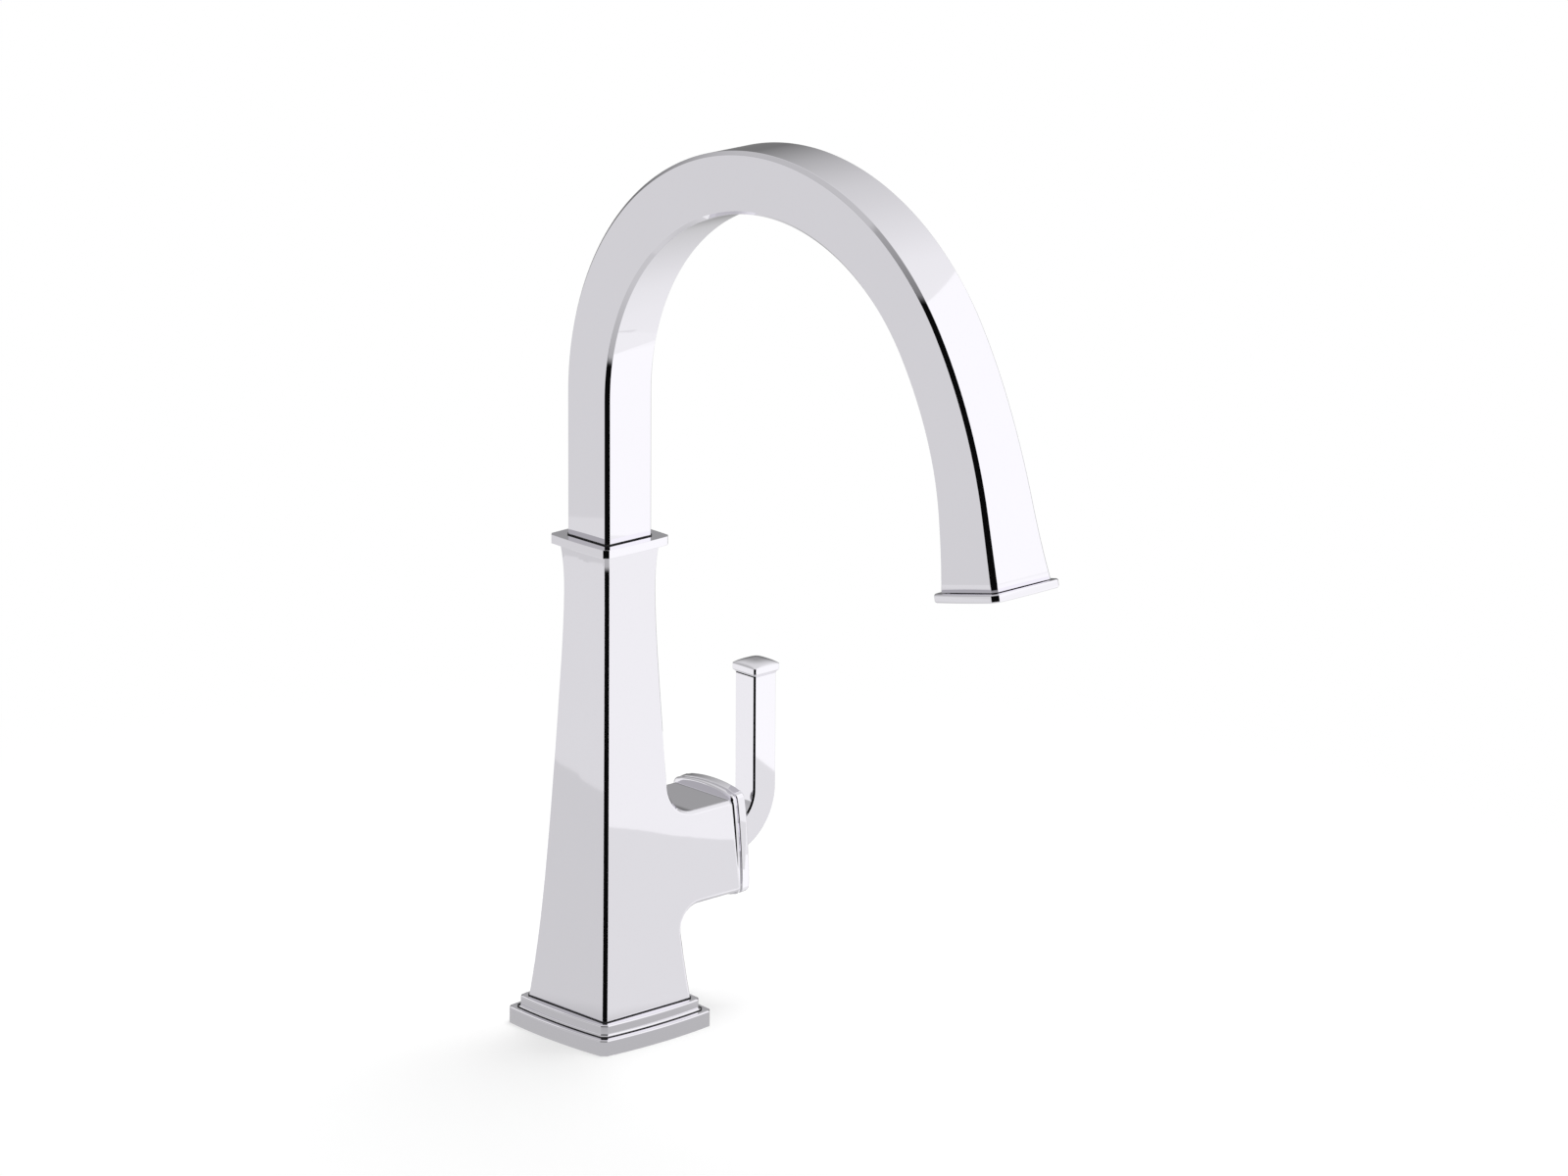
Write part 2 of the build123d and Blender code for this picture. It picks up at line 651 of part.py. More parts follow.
def upper_bush():
    bush = tube(BUSH_RADIUS, SLEEVE_RADIUS + RUN_FIT, COLLAR_TOP - BUSH_LENGTH, COLLAR_TOP)
    return bush + tube(NECK_HALF - RUN_FIT, SLEEVE_RADIUS + RUN_FIT, COLLAR_TOP, COLLAR_TOP + BUSH_FLANGE)


def lower_bush():
    return tube(BUSH_RADIUS, SLEEVE_RADIUS + RUN_FIT, LOWER_BUSH_BOTTOM, LOWER_BUSH_BOTTOM + BUSH_LENGTH)


def spray_hose():
    """The hose along its whole way through the column and the spout, down to the spray head."""
    bore = Circle(HOSE_RADIUS)
    column_run = block(bore, -HOSE_DROP, NECK_TOP)
    rise = revolve(Pos(0, 0, NECK_TOP) * bore, axis=ARCH_AXIS, revolution_arc=90)
    fall = revolve(CROWN * bore, axis=FALL_AXIS, revolution_arc=FALL_ANGLE)
    bend = revolve(tip_plane(0) * bore, axis=TIP_AXIS, revolution_arc=MOUTH_ANGLE - FALL_ANGLE)
    return column_run + rise + fall + bend


def hose_length():
    arcs = ARCH_RADIUS * pi / 2 + FALL_RADIUS * radians(FALL_ANGLE) + BEND_LENGTH
    return HOSE_DROP + NECK_TOP + arcs


def hose_coupling():
    middle = -HOSE_DROP - COUPLING_LENGTH / 2
    body = rod(TUBE_ORBIT - TUBE_RADIUS - 2 * EASY_FIT, middle, -HOSE_DROP)
    return body + rod(HOSE_RADIUS - COUPLING_STEP, -HOSE_DROP - COUPLING_LENGTH, middle)


def dock_insert():
    """The guide fixed in the spout, where the head's nose docks."""
    low = TIP_LENGTH + DOCK_BOTTOM
    body = tip_body(SPOUT_WALL + SEAT_FIT, low - DOCK_LENGTH, low, PLUG_SECTION_COUNT)
    body -= MOUTH * rod(NOSE_RADIUS + EASY_FIT, DOCK_BOTTOM - 2 * DOCK_LENGTH, 0)
    return body - MOUTH * magnet_ring(SEAT_FIT)


def magnet_ring(grow):
    """The ring magnet in the dock's lower face, grown by a clearance to cut its pocket."""
    bore = NOSE_RADIUS + 2 * EASY_FIT - grow
    return tube(MAGNET_RADIUS + grow, bore, DOCK_BOTTOM - MAGNET_THICK - grow, DOCK_BOTTOM)


def dock_magnet():
    return MOUTH * magnet_ring(0)


def head_body():
    """The head's plug inside the mouth: a hollow square body and a round nose."""
    body = tip_body(SPOUT_WALL + HEAD_FIT, TIP_LENGTH + HEAD_TOP, TIP_LENGTH, PLUG_SECTION_COUNT)
    end = cut_square(tip_half(TIP_LENGTH) - SPOUT_WALL - HEAD_FIT, TIP_CHAMFER)
    body += MOUTH * block(end, 0, RIM_GAP)
    body += MOUTH * rod(NOSE_RADIUS, NOSE_TOP, HEAD_TOP)
    body -= MOUTH * rod(HEAD_CHAMBER_RADIUS, HEAD_TOP + SPOUT_WALL, RIM_GAP)
    return body - MOUTH * rod(NOSE_BORE_RADIUS, NOSE_TOP, RIM_GAP)


def keeper_ring():
    return MOUTH * tube(KEEPER_RADIUS, NOSE_RADIUS + SEAT_FIT, HEAD_TOP - KEEPER_THICK, HEAD_TOP)


def hose_nut():
    return MOUTH * tube(HOSE_NUT_RADIUS, NOSE_BORE_RADIUS, HOSE_END, NOSE_TOP)


def flow_insert():
    """The guide that leads water from the nose to the aerator, inside the head's chamber."""
    low = HEAD_TOP + SPOUT_WALL
    return MOUTH * tube(HEAD_CHAMBER_RADIUS - SEAT_FIT, NOSE_BORE_RADIUS, low, SPRAY_LEVEL - AERATOR_LENGTH)


def head_rim():
    half = tip_half(TIP_LENGTH) + RIM_OVERHANG
    rim = block(bowed_square(half - RIM_BOW, RIM_BOW, RIM_CHAMFER), RIM_GAP, RIM_FACE)
    rim = chamfer(ring_edges(rim, RIM_GAP) + ring_edges(rim, RIM_FACE), EDGE_BREAK)
    rim -= rod(HEAD_CHAMBER_RADIUS, RIM_GAP, RIM_FACE)
    return MOUTH * (rim - rod(FACE_RADIUS + SEAT_FIT, SPRAY_LEVEL - FACE_THICK, RIM_FACE))


def nozzle_places():
    inner = PolarLocations(INNER_NOZZLE_ORBIT, INNER_NOZZLE_COUNT)
    outer = PolarLocations(OUTER_NOZZLE_ORBIT, OUTER_NOZZLE_COUNT)
    return [*inner, *outer]


def spray_face():
    back = SPRAY_LEVEL - FACE_THICK
    face = tube(FACE_RADIUS, AERATOR_RADIUS + SEAT_FIT, back, SPRAY_LEVEL)
    for place in nozzle_places():
        face -= place * rod(NOZZLE_RADIUS + SEAT_FIT, back, SPRAY_LEVEL)
    return MOUTH * face


def spray_nozzles():
    stub = rod(NOZZLE_RADIUS, SPRAY_LEVEL - FACE_THICK, SPRAY_LEVEL)
    tip = Cone(NOZZLE_RADIUS, NOZZLE_RADIUS / 2, NOZZLE_PROUD)
    stub += Pos(0, 0, SPRAY_LEVEL + NOZZLE_PROUD / 2) * tip
    return Compound(children=[MOUTH * place * stub for place in nozzle_places()])


def aerator():
    return MOUTH * rod(AERATOR_RADIUS, SPRAY_LEVEL - AERATOR_LENGTH + SEAT_FIT, SPRAY_LEVEL)


PIECES = (
    base_plinth, deck_gasket, column_body, mounting_shank, rubber_washer, clamp_washer,
    mounting_nut, clamp_screws, valve_block, upper_bush, lower_bush, cartridge_body,
    cartridge_seals, cartridge_nut, trim_flange, spout_shell, spout_sleeve, sleeve_rings,
    retaining_clip, spray_hose, hose_coupling, dock_insert, dock_magnet, valve_stem,
    handle_plate, lever, lever_cap, set_screw, head_body, head_rim, keeper_ring, hose_nut,
    flow_insert, spray_face, spray_nozzles, aerator,
)

os.makedirs("parts", exist_ok=True)
for make in PIECES:
    export_step(make(), f"parts/{make.__name__}.step")
for name, turn in TUBE_TURNS.items():
    export_step(supply_tube(turn), f"parts/{name}.step")
hose_ratio = spray_hose().volume / (pi * HOSE_RADIUS**2 * hose_length())
print(f"hose length {hose_length():.1f} mm, volume over section times length {hose_ratio:.4f}")
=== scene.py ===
# %% [markdown]
# A chrome kitchen faucet with a square arched spout, a side lever and a spray head hidden in the mouth.
# The solid model is loaded first and stays fixed. Everything made here sits on it, in metres, with +Z
# up, the spout towards -Y and the handle on +X.

# %% Load the solid model
import json
from math import cos, pi, radians, sin

import bpy
from mathutils import Matrix, Vector


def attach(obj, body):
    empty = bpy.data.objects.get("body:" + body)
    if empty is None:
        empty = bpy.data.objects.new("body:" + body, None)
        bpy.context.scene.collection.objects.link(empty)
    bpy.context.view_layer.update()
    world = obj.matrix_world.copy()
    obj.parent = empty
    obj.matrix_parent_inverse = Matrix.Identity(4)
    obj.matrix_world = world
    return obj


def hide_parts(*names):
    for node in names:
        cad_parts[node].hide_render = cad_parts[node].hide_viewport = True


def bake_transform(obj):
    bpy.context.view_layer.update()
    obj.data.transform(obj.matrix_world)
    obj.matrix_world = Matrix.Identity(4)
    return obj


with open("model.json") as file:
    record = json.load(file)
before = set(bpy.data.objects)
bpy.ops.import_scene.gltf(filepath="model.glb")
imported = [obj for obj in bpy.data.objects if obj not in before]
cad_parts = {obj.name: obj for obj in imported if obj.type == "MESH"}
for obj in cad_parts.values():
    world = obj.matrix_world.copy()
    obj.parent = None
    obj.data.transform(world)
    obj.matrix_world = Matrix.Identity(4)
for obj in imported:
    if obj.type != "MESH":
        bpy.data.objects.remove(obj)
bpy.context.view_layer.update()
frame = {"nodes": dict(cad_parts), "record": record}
MM = 0.001
scene = bpy.context.scene
scene.view_settings.view_transform = "Standard"

# %% [markdown]
# The picture was taken with a long lens from the front left, a little above the faucet. The lens is
# written as if the picture were 1600 pixels wide. The faucet stands left of the middle, which is the
# shift.

# %% Camera
IMAGE_WIDTH = 1600
FOCAL_PIXELS = 8000
CENTRE_PIXEL = 621
SENSOR = 36.0
CAMERA_TURN = radians(-41.64)
CAMERA_RISE = radians(16.06)
CAMERA_DISTANCE = 3.08645
CAMERA_TARGET = Vector((-0.00031, 0.00028, 0.1811))
CAMERA_REACH = 50.0


def new_object(name, data):
    """An object for a mesh, a camera or a lamp, put into the scene."""
    made = bpy.data.objects.new(name, data)
    scene.collection.objects.link(made)
    return made


camera_data = bpy.data.cameras.new("camera")
camera_data.sensor_width = SENSOR
camera_data.lens = FOCAL_PIXELS / IMAGE_WIDTH * SENSOR
camera_data.shift_x = (IMAGE_WIDTH / 2 - CENTRE_PIXEL) / IMAGE_WIDTH
camera_data.clip_end = CAMERA_REACH
camera = new_object("camera", camera_data)
towards_camera = Vector((
    sin(CAMERA_TURN) * cos(CAMERA_RISE),
    -cos(CAMERA_TURN) * cos(CAMERA_RISE),
    sin(CAMERA_RISE),
))
camera.location = CAMERA_TARGET + towards_camera * CAMERA_DISTANCE
camera.rotation_euler = (-towards_camera).to_track_quat("-Z", "Y").to_euler()
scene.camera = camera
print("lens", camera_data.lens, "mm, shift", round(camera_data.shift_x, 3))

# %% [markdown]
# Chrome has no look of its own: it shows the room. In the picture the room is a white studio with a
# pale floor, dark behind the camera. Short helpers place nodes and link them, so that each tree reads
# as a list of what goes into what.


# %% Node helpers
def add_node(tree, kind, **settings):
    """A new node in a tree, with its settings, and with inputs given by name or number in a dict."""
    inputs = settings.pop("inputs", {})
    node = tree.nodes.new(kind)
    for name, value in settings.items():
        setattr(node, name, value)
    for name, value in inputs.items():
        socket = node.inputs[name]
        if isinstance(value, bpy.types.NodeSocket):
            tree.links.new(value, socket)
        else:
            socket.default_value = value
    return node


def new_material(name):
    """An empty node material, its tree and its output node."""
    material = bpy.data.materials.new(name)
    material.use_nodes = True
    material.node_tree.nodes.clear()
    return material, material.node_tree, add_node(material.node_tree, "ShaderNodeOutputMaterial")


def grey(value):
    """A grey colour."""
    return (value, value, value, 1.0)


print("helpers for nodes, materials and greys")

# %% [markdown]
# Five small steps come back in many of the trees: sums, ranges, mixed colours, mixed shaders and plain
# glowing surfaces. Each helper gives back the socket that the next node takes.


# %% Shader helpers
def maths(tree, operation, *values):
    """The result of one step of arithmetic."""
    node = add_node(tree, "ShaderNodeMath", operation=operation, inputs=dict(enumerate(values)))
    return node.outputs[0]


def map_range(tree, value, low, high, start=0.0, end=1.0, kind="LINEAR"):
    """A value carried from one range to another, held at both ends."""
    return add_node(tree, "ShaderNodeMapRange", interpolation_type=kind, inputs={
        0: value, 1: low, 2: high, 3: start, 4: end,
    }).outputs[0]


def mix_colours(tree, mask, first, second):
    """One colour where a mask is 0 and another where it is 1."""
    return add_node(tree, "ShaderNodeMix", data_type="RGBA", inputs={
        0: mask, 6: first, 7: second,
    }).outputs[2]


def mix_shaders(tree, mask, first, second):
    """One shader where a mask is 0 and another where it is 1."""
    return add_node(tree, "ShaderNodeMixShader", inputs={0: mask, 1: first, 2: second}).outputs[0]


def glow(tree, tone):
    """A surface that shows one grey in any light."""
    return add_node(tree, "ShaderNodeEmission", inputs={"Color": grey(tone)}).outputs[0]


print("helpers for sums, ranges, colours, shaders and glow")

# %% [markdown]
# The floor is white to the camera and still takes a soft shadow, which fades out with the distance. The
# metal sees the floor only close to the plinth, as a grey pool of painted shade that glows for mirror rays
# only and stands in for the floor's shadow round the plinth in the low faces. Further out a mirror ray
# passes through it to the studio.

# %% Floor
FLOOR_HALF = 6.0
FLOOR_TONE = 0.95
MIRRORED_SHADE_TONE = 0.5
MIRRORED_SHADE_NEAR = 0.055
MIRRORED_SHADE_FAR = 0.11
SHADOW_SHARE = 0.35
SHADOW_NEAR = 0.1
SHADOW_FAR = 0.5


def plane_object(name, corners):
    """A flat four-cornered stage piece."""
    mesh = bpy.data.meshes.new(name)
    mesh.from_pydata(corners, [], [(0, 1, 2, 3)])
    return new_object(name, mesh)


floor = plane_object("floor", [
    (-FLOOR_HALF, -FLOOR_HALF, 0),
    (FLOOR_HALF, -FLOOR_HALF, 0),
    (FLOOR_HALF, FLOOR_HALF, 0),
    (-FLOOR_HALF, FLOOR_HALF, 0),
])
floor_material, tree, output = new_material("studio_floor")
ray = add_node(tree, "ShaderNodeLightPath")
place = add_node(tree, "ShaderNodeTexCoord").outputs["Object"]
distance = add_node(tree, "ShaderNodeVectorMath", operation="LENGTH", inputs={0: place}).outputs["Value"]
# Painted shade: a glowing grey pool round the plinth, seen only by mirror rays, in place of the floor's
# shadow.
beyond = map_range(tree, distance, MIRRORED_SHADE_NEAR, MIRRORED_SHADE_FAR, kind="SMOOTHSTEP")
clear = add_node(tree, "ShaderNodeBsdfTransparent").outputs[0]
painted_shade_pool = mix_shaders(tree, beyond, glow(tree, MIRRORED_SHADE_TONE), clear)
matt = add_node(tree, "ShaderNodeBsdfDiffuse", inputs={"Color": grey(FLOOR_TONE)}).outputs[0]
shadow = map_range(tree, distance, SHADOW_NEAR, SHADOW_FAR, SHADOW_SHARE, 0.0, kind="SMOOTHSTEP")
seen_floor = mix_shaders(tree, shadow, glow(tree, 1.0), matt)
by_camera = mix_shaders(tree, ray.outputs["Is Camera Ray"], matt, seen_floor)
by_metal = mix_shaders(tree, ray.outputs["Is Glossy Ray"], by_camera, painted_shade_pool)
tree.links.new(by_metal, output.inputs[0])
floor.data.materials.append(floor_material)
print("floor", 2 * FLOOR_HALF, "m")

# %% [markdown]
# The room round the floor is white to the camera. The metal sees the studio instead: a wide white panel
# and a light floor on the right, a greyer floor on the left, a grey wall behind the faucet and the dark
# room behind the camera. Each side has a ramp of tones from straight down to straight up, as pairs of
# degrees above the horizon and a tone.

# %% Room tones
RIGHT_TONES = (
    (-70, 0.66), (-55, 0.81), (-44, 0.89), (-36, 0.91), (-32, 1.04), (-8, 1.03), (0, 0.98), (8, 1.03),
    (20, 1.03), (32, 0.93), (46, 0.89), (60, 0.72),
)
LEFT_TONES = (
    (-60, 0.66), (-20, 0.69), (0, 0.66), (10, 0.52), (18, 0.43), (30, 0.48), (70, 0.6),
)
FRONT_TONES = (
    (-60, 0.6), (-31, 0.45), (-28, 0.003), (39, 0.003), (41, 0.22), (56, 0.4), (75, 0.55),
)
BACK_TONES = (
    (-50, 0.74), (-34, 0.6), (-22, 0.36), (-12, 0.24), (-2, 0.19), (6, 0.19), (12, 0.27), (17, 0.34),
    (25, 0.46), (39, 0.655), (47, 0.72), (60, 0.75),
)
RIGHT_EDGES = (-0.3, 0.5)
BACK_EDGES = (0.45, 0.95)
FRONT_EDGES = (0.55, 0.65)
SOFT_LIGHT = 0.45
UP = radians(90)


def tone_ramp(tree, height, stops):
    """A ramp of greys over the elevation of a ray."""
    ramp = add_node(tree, "ShaderNodeValToRGB", inputs={0: height})
    elements = ramp.color_ramp.elements
    elements.remove(elements[1])
    elements[0].position = (stops[0][0] + 90) / 180
    elements[0].color = grey(stops[0][1])
    for degrees, tone in stops[1:]:
        elements.new((degrees + 90) / 180).color = grey(tone)
    return ramp.outputs[0]


def heading_mask(tree, heading, turn, edges):
    """1 for rays that head towards a compass direction, 0 for those that head away from it."""
    towards = add_node(tree, "ShaderNodeVectorMath", operation="DOT_PRODUCT", inputs={
        0: heading, 1: (cos(turn), sin(turn), 0.0),
    }).outputs["Value"]
    return map_range(tree, towards, *edges, kind="SMOOTHSTEP")


print("room tones", len(RIGHT_TONES + LEFT_TONES + FRONT_TONES + BACK_TONES))

# %% [markdown]
# The heading of a mirror ray mixes the four ramps, so the sharp lines across the spout and the column
# are the edges of the panel and of the floor. Matt pieces get one plain soft light from all round.

# %% Room
world = bpy.data.worlds.new("studio")
scene.world = world
world.use_nodes = True
tree = world.node_tree
tree.nodes.clear()
room = add_node(tree, "ShaderNodeOutputWorld")
ray = add_node(tree, "ShaderNodeLightPath")
direction = add_node(tree, "ShaderNodeTexCoord").outputs["Generated"]
split = add_node(tree, "ShaderNodeSeparateXYZ", inputs={0: direction})
height = map_range(tree, maths(tree, "ARCSINE", split.outputs[2]), -UP, UP)
level = add_node(tree, "ShaderNodeVectorMath", operation="MULTIPLY", inputs={
    0: direction, 1: (1.0, 1.0, 0.0),
}).outputs[0]
heading = add_node(tree, "ShaderNodeVectorMath", operation="NORMALIZE", inputs={0: level}).outputs[0]
tones = tone_ramp(tree, height, LEFT_TONES)
for turn, edges, stops in (
    (CAMERA_TURN, RIGHT_EDGES, RIGHT_TONES),
    (CAMERA_TURN + UP, BACK_EDGES, BACK_TONES),
    (CAMERA_TURN - UP, FRONT_EDGES, FRONT_TONES),
):
    mask = heading_mask(tree, heading, turn, edges)
    tones = mix_colours(tree, mask, tones, tone_ramp(tree, height, stops))
wall, soft_light, white_room = (
    add_node(tree, "ShaderNodeBackground", inputs={"Color": colour}).outputs[0]
    for colour in (tones, grey(SOFT_LIGHT), grey(1.0))
)
lit = mix_shaders(tree, ray.outputs["Is Camera Ray"], soft_light, white_room)
tree.links.new(mix_shaders(tree, ray.outputs["Is Glossy Ray"], lit, wall), room.inputs[0])
print("room nodes", len(tree.nodes))

# %% [markdown]
# Cards stand round the faucet, as a photographer sets them, and only mirror rays see them. The upper
# pair evens out the column's faces and the lower pair draws the line across their lower part. A tall
# panel on the right gives the falling leg its white, with the slanted line where it ends. A card behind
# brightens the plinth's rounded edges, and one beside the lever lights its inner side.


# %% Cards
def mirror_card(name, heading, distance, tone, span, lows, highs):
    """An upright card across a heading, between two places along it, with a low and a high end at each."""
    outwards = Vector((sin(heading), -cos(heading), 0))
    along = Vector((-outwards.y, outwards.x, 0))
    start, end = (outwards * distance + along * place for place in span)
    feet = (start, end, end, start)
    levels = (lows[0], lows[1], highs[1], highs[0])
    card = plane_object(name, [foot + Vector((0, 0, level)) for foot, level in zip(feet, levels)])
    card_material, tree, output = new_material(name)
    tree.links.new(glow(tree, tone), output.inputs[0])
    card.data.materials.append(card_material)
    card.visible_camera = False
    card.visible_diffuse = False
    card.visible_shadow = False
    card.visible_transmission = False


RIGHT_WAY = -CAMERA_TURN
LEFT_WAY = RIGHT_WAY + pi
AWAY = pi - RIGHT_WAY
SPOUT_SIDE = pi / 2
LEVER_SIDE = LEFT_WAY - radians(30)
mirror_card("right_upper_card", RIGHT_WAY, distance=0.25, tone=0.93,
            span=(-0.3, 0.046), lows=(0.07, 0.022), highs=(0.1245, 0.1245))
mirror_card("right_lower_card", RIGHT_WAY, distance=0.4, tone=0.78,
            span=(-0.12, 0.046), lows=(-0.08, -0.08), highs=(0.02, 0.0))
mirror_card("handle_card", RIGHT_WAY, distance=0.4, tone=0.8,
            span=(0.048, 0.09), lows=(-0.06, -0.06), highs=(-0.003, -0.035))
mirror_card("left_upper_card", LEFT_WAY, distance=0.5, tone=0.745,
            span=(-0.3, 0.3), lows=(-0.15, -0.15), highs=(0.055, 0.055))
mirror_card("left_lower_card", LEFT_WAY, distance=0.4, tone=0.645,
            span=(-0.12, 0.12), lows=(-0.15, -0.15), highs=(0.095, -0.045))
mirror_card("side_panel", SPOUT_SIDE, distance=0.3, tone=1.04,
            span=(-0.95, -0.2), lows=(0.26, 0.26), highs=(0.555, 0.646))
mirror_card("back_white_card", AWAY, distance=0.2, tone=0.95,
            span=(-0.06, 0.02), lows=(0.02, 0.02), highs=(0.062, 0.062))
mirror_card("lever_card", LEVER_SIDE, distance=0.1, tone=0.9,
            span=(-0.03, 0.03), lows=(0.02, 0.02), highs=(0.11, 0.11))

# %% [markdown]
# One broad lamp above the right side gives the floor its soft shadow. It isn't mirrored itself.

# %% Lamp
LAMP_SIZE = 1.2
LAMP_POWER = 55.0
LAMP_PLACE = Vector((0.8, 0.15, 2.4))

lamp_data = bpy.data.lights.new("soft_lamp", "AREA")
lamp_data.shape = "DISK"
lamp_data.size = LAMP_SIZE
lamp_data.energy = LAMP_POWER
lamp = new_object("soft_lamp", lamp_data)
lamp.location = LAMP_PLACE
lamp.rotation_euler = LAMP_PLACE.to_track_quat("Z", "Y").to_euler()
lamp.visible_glossy = False
print("lamp", LAMP_POWER, "W")

# %% [markdown]
# All the metals, plastics and rubbers share one effect: polishing or moulding leaves a faint
# cloudiness. The group gives a roughness and a tint that wander a little over the surface, and each
# finish sets how much.

# %% Polish group
CLOUD_DETAIL = 4.0
CLOUD_MIDDLE = 0.5


def polish_group():
    """Colour and roughness that vary round the given ones."""
    group = bpy.data.node_groups.new("polish", "ShaderNodeTree")
    for name in ("Scale", "Roughness", "Spread", "Tint"):
        group.interface.new_socket(name, in_out="INPUT", socket_type="NodeSocketFloat")
    group.interface.new_socket("Color", in_out="INPUT", socket_type="NodeSocketColor")
    group.interface.new_socket("Color", in_out="OUTPUT", socket_type="NodeSocketColor")
    group.interface.new_socket("Roughness", in_out="OUTPUT", socket_type="NodeSocketFloat")
    given = add_node(group, "NodeGroupInput").outputs
    result = add_node(group, "NodeGroupOutput").inputs
    place = add_node(group, "ShaderNodeTexCoord").outputs["Object"]
    cloud = add_node(group, "ShaderNodeTexNoise", inputs={
        "Vector": place, "Scale": given["Scale"], "Detail": CLOUD_DETAIL,
    }).outputs[0]
    centred = maths(group, "SUBTRACT", cloud, CLOUD_MIDDLE)
    rough = maths(group, "MULTIPLY_ADD", centred, given["Spread"], given["Roughness"])
    shade = maths(group, "MULTIPLY_ADD", centred, given["Tint"], 1.0)
    colour = add_node(group, "ShaderNodeVectorMath", operation="SCALE", inputs={
        0: given["Color"], "Scale": shade,
    }).outputs[0]
    group.links.new(colour, result["Color"])
    group.links.new(rough, result["Roughness"])
    return group


POLISH = polish_group()
print("polish inputs", [item.name for item in POLISH.interface.items_tree if item.in_out == "INPUT"])

# %% [markdown]
# Each finish is one Principled shader with its own values: bright chrome, machined brass, turned steel
# and drawn copper are metals, and the plastics and rubbers are not. Spread and tint say how far the
# roughness and the colour wander, and scale how fine the cloud is.


# %% Finishes
def finish_material(name, colour, roughness, spread, tint, metallic=0.0, scale=60):
    """One finish, as a Principled shader behind the polish group."""
    material, tree, output = new_material(name)
    polish = add_node(tree, "ShaderNodeGroup", node_tree=POLISH, inputs={
        "Scale": scale, "Roughness": roughness, "Spread": spread, "Tint": tint, "Color": (*colour, 1.0),
    }).outputs
    shader = add_node(tree, "ShaderNodeBsdfPrincipled", inputs={
        "Base Color": polish["Color"], "Roughness": polish["Roughness"], "Metallic": metallic,
    })
    tree.links.new(shader.outputs[0], output.inputs[0])
    return material


FINISH_VALUES = {
    "chrome": dict(colour=(0.93, 0.915, 0.965), roughness=0.03, spread=0.01, tint=0.01, metallic=1.0),
    "rubber": dict(colour=(0.03, 0.03, 0.032), roughness=0.7, spread=0.2, tint=0.4, scale=400),
    "brass": dict(colour=(0.78, 0.6, 0.3), roughness=0.28, spread=0.15, tint=0.1, metallic=1.0),
    "steel": dict(colour=(0.62, 0.62, 0.63), roughness=0.3, spread=0.15, tint=0.08, metallic=1.0),
    "copper": dict(colour=(0.8, 0.47, 0.33), roughness=0.3, spread=0.15, tint=0.15, metallic=1.0),
    "acetal": dict(colour=(0.82, 0.82, 0.79), roughness=0.45, spread=0.1, tint=0.05, scale=200),
    "dark_plastic": dict(colour=(0.06, 0.06, 0.065), roughness=0.45, spread=0.2, tint=0.2, scale=300),
    "magnet": dict(colour=(0.16, 0.16, 0.17), roughness=0.4, spread=0.2, tint=0.3, metallic=0.3, scale=300),
    "hose": dict(colour=(0.2, 0.21, 0.22), roughness=0.6, spread=0.2, tint=0.3, scale=500),
    "spray_face": dict(colour=(0.4, 0.41, 0.42), roughness=0.4, spread=0.1, tint=0.1, scale=300),
}
FINISHES = {name: finish_material(name, **values) for name, values in FINISH_VALUES.items()}
for part in frame["record"]["subparts"]:
    node = frame["nodes"][part["node"]]
    node.data.materials.clear()
    node.data.materials.append(FINISHES[part["material_slot"]])
print("finishes", ", ".join(FINISHES))

# %% [markdown]
# The column and its housing are one casting, polished after the edges were broken. The edges along the
# column are crisp and those of the housing are rounder, so the finish rounds them in the shading, by a
# radius that grows from the column to the housing.

# %% Column finish
COLUMN_EDGE = 0.3 * MM
HOUSING_EDGE = 1.1 * MM
EDGE_CHANGE = (13 * MM, 20 * MM)
EDGE_SAMPLES = 8

column_chrome = FINISHES["chrome"].copy()
column_chrome.name = "column_chrome"
tree = column_chrome.node_tree
place = add_node(tree, "ShaderNodeTexCoord").outputs["Object"]
split = add_node(tree, "ShaderNodeSeparateXYZ", inputs={0: place})
radius = map_range(tree, split.outputs[0], *EDGE_CHANGE, COLUMN_EDGE, HOUSING_EDGE)
rounded = add_node(tree, "ShaderNodeBevel", samples=EDGE_SAMPLES, inputs={"Radius": radius})
shader = next(node for node in tree.nodes if node.type == "BSDF_PRINCIPLED")
tree.links.new(rounded.outputs[0], shader.inputs["Normal"])
frame["nodes"]["column_body"].data.materials[0] = column_chrome
print("column edges", COLUMN_EDGE, "to", HOUSING_EDGE)

# %% [markdown]
# The spout is a square tube with cut corners that follows a path: up, over in two arcs, along a gentle
# bend and straight to the mouth, where it swells. A sweep makes it: the tree below draws the square,
# cuts and softens its corners and runs it along any path, and the lever uses the same tree.

# %% Square bar tree
CUT_POINTS = 1
SOFT_POINTS = 3


def add_inputs(group, kind, *names):
    """Named inputs of one kind for a tree."""
    for name in names:
        group.interface.new_socket(name, in_out="INPUT", socket_type=kind)


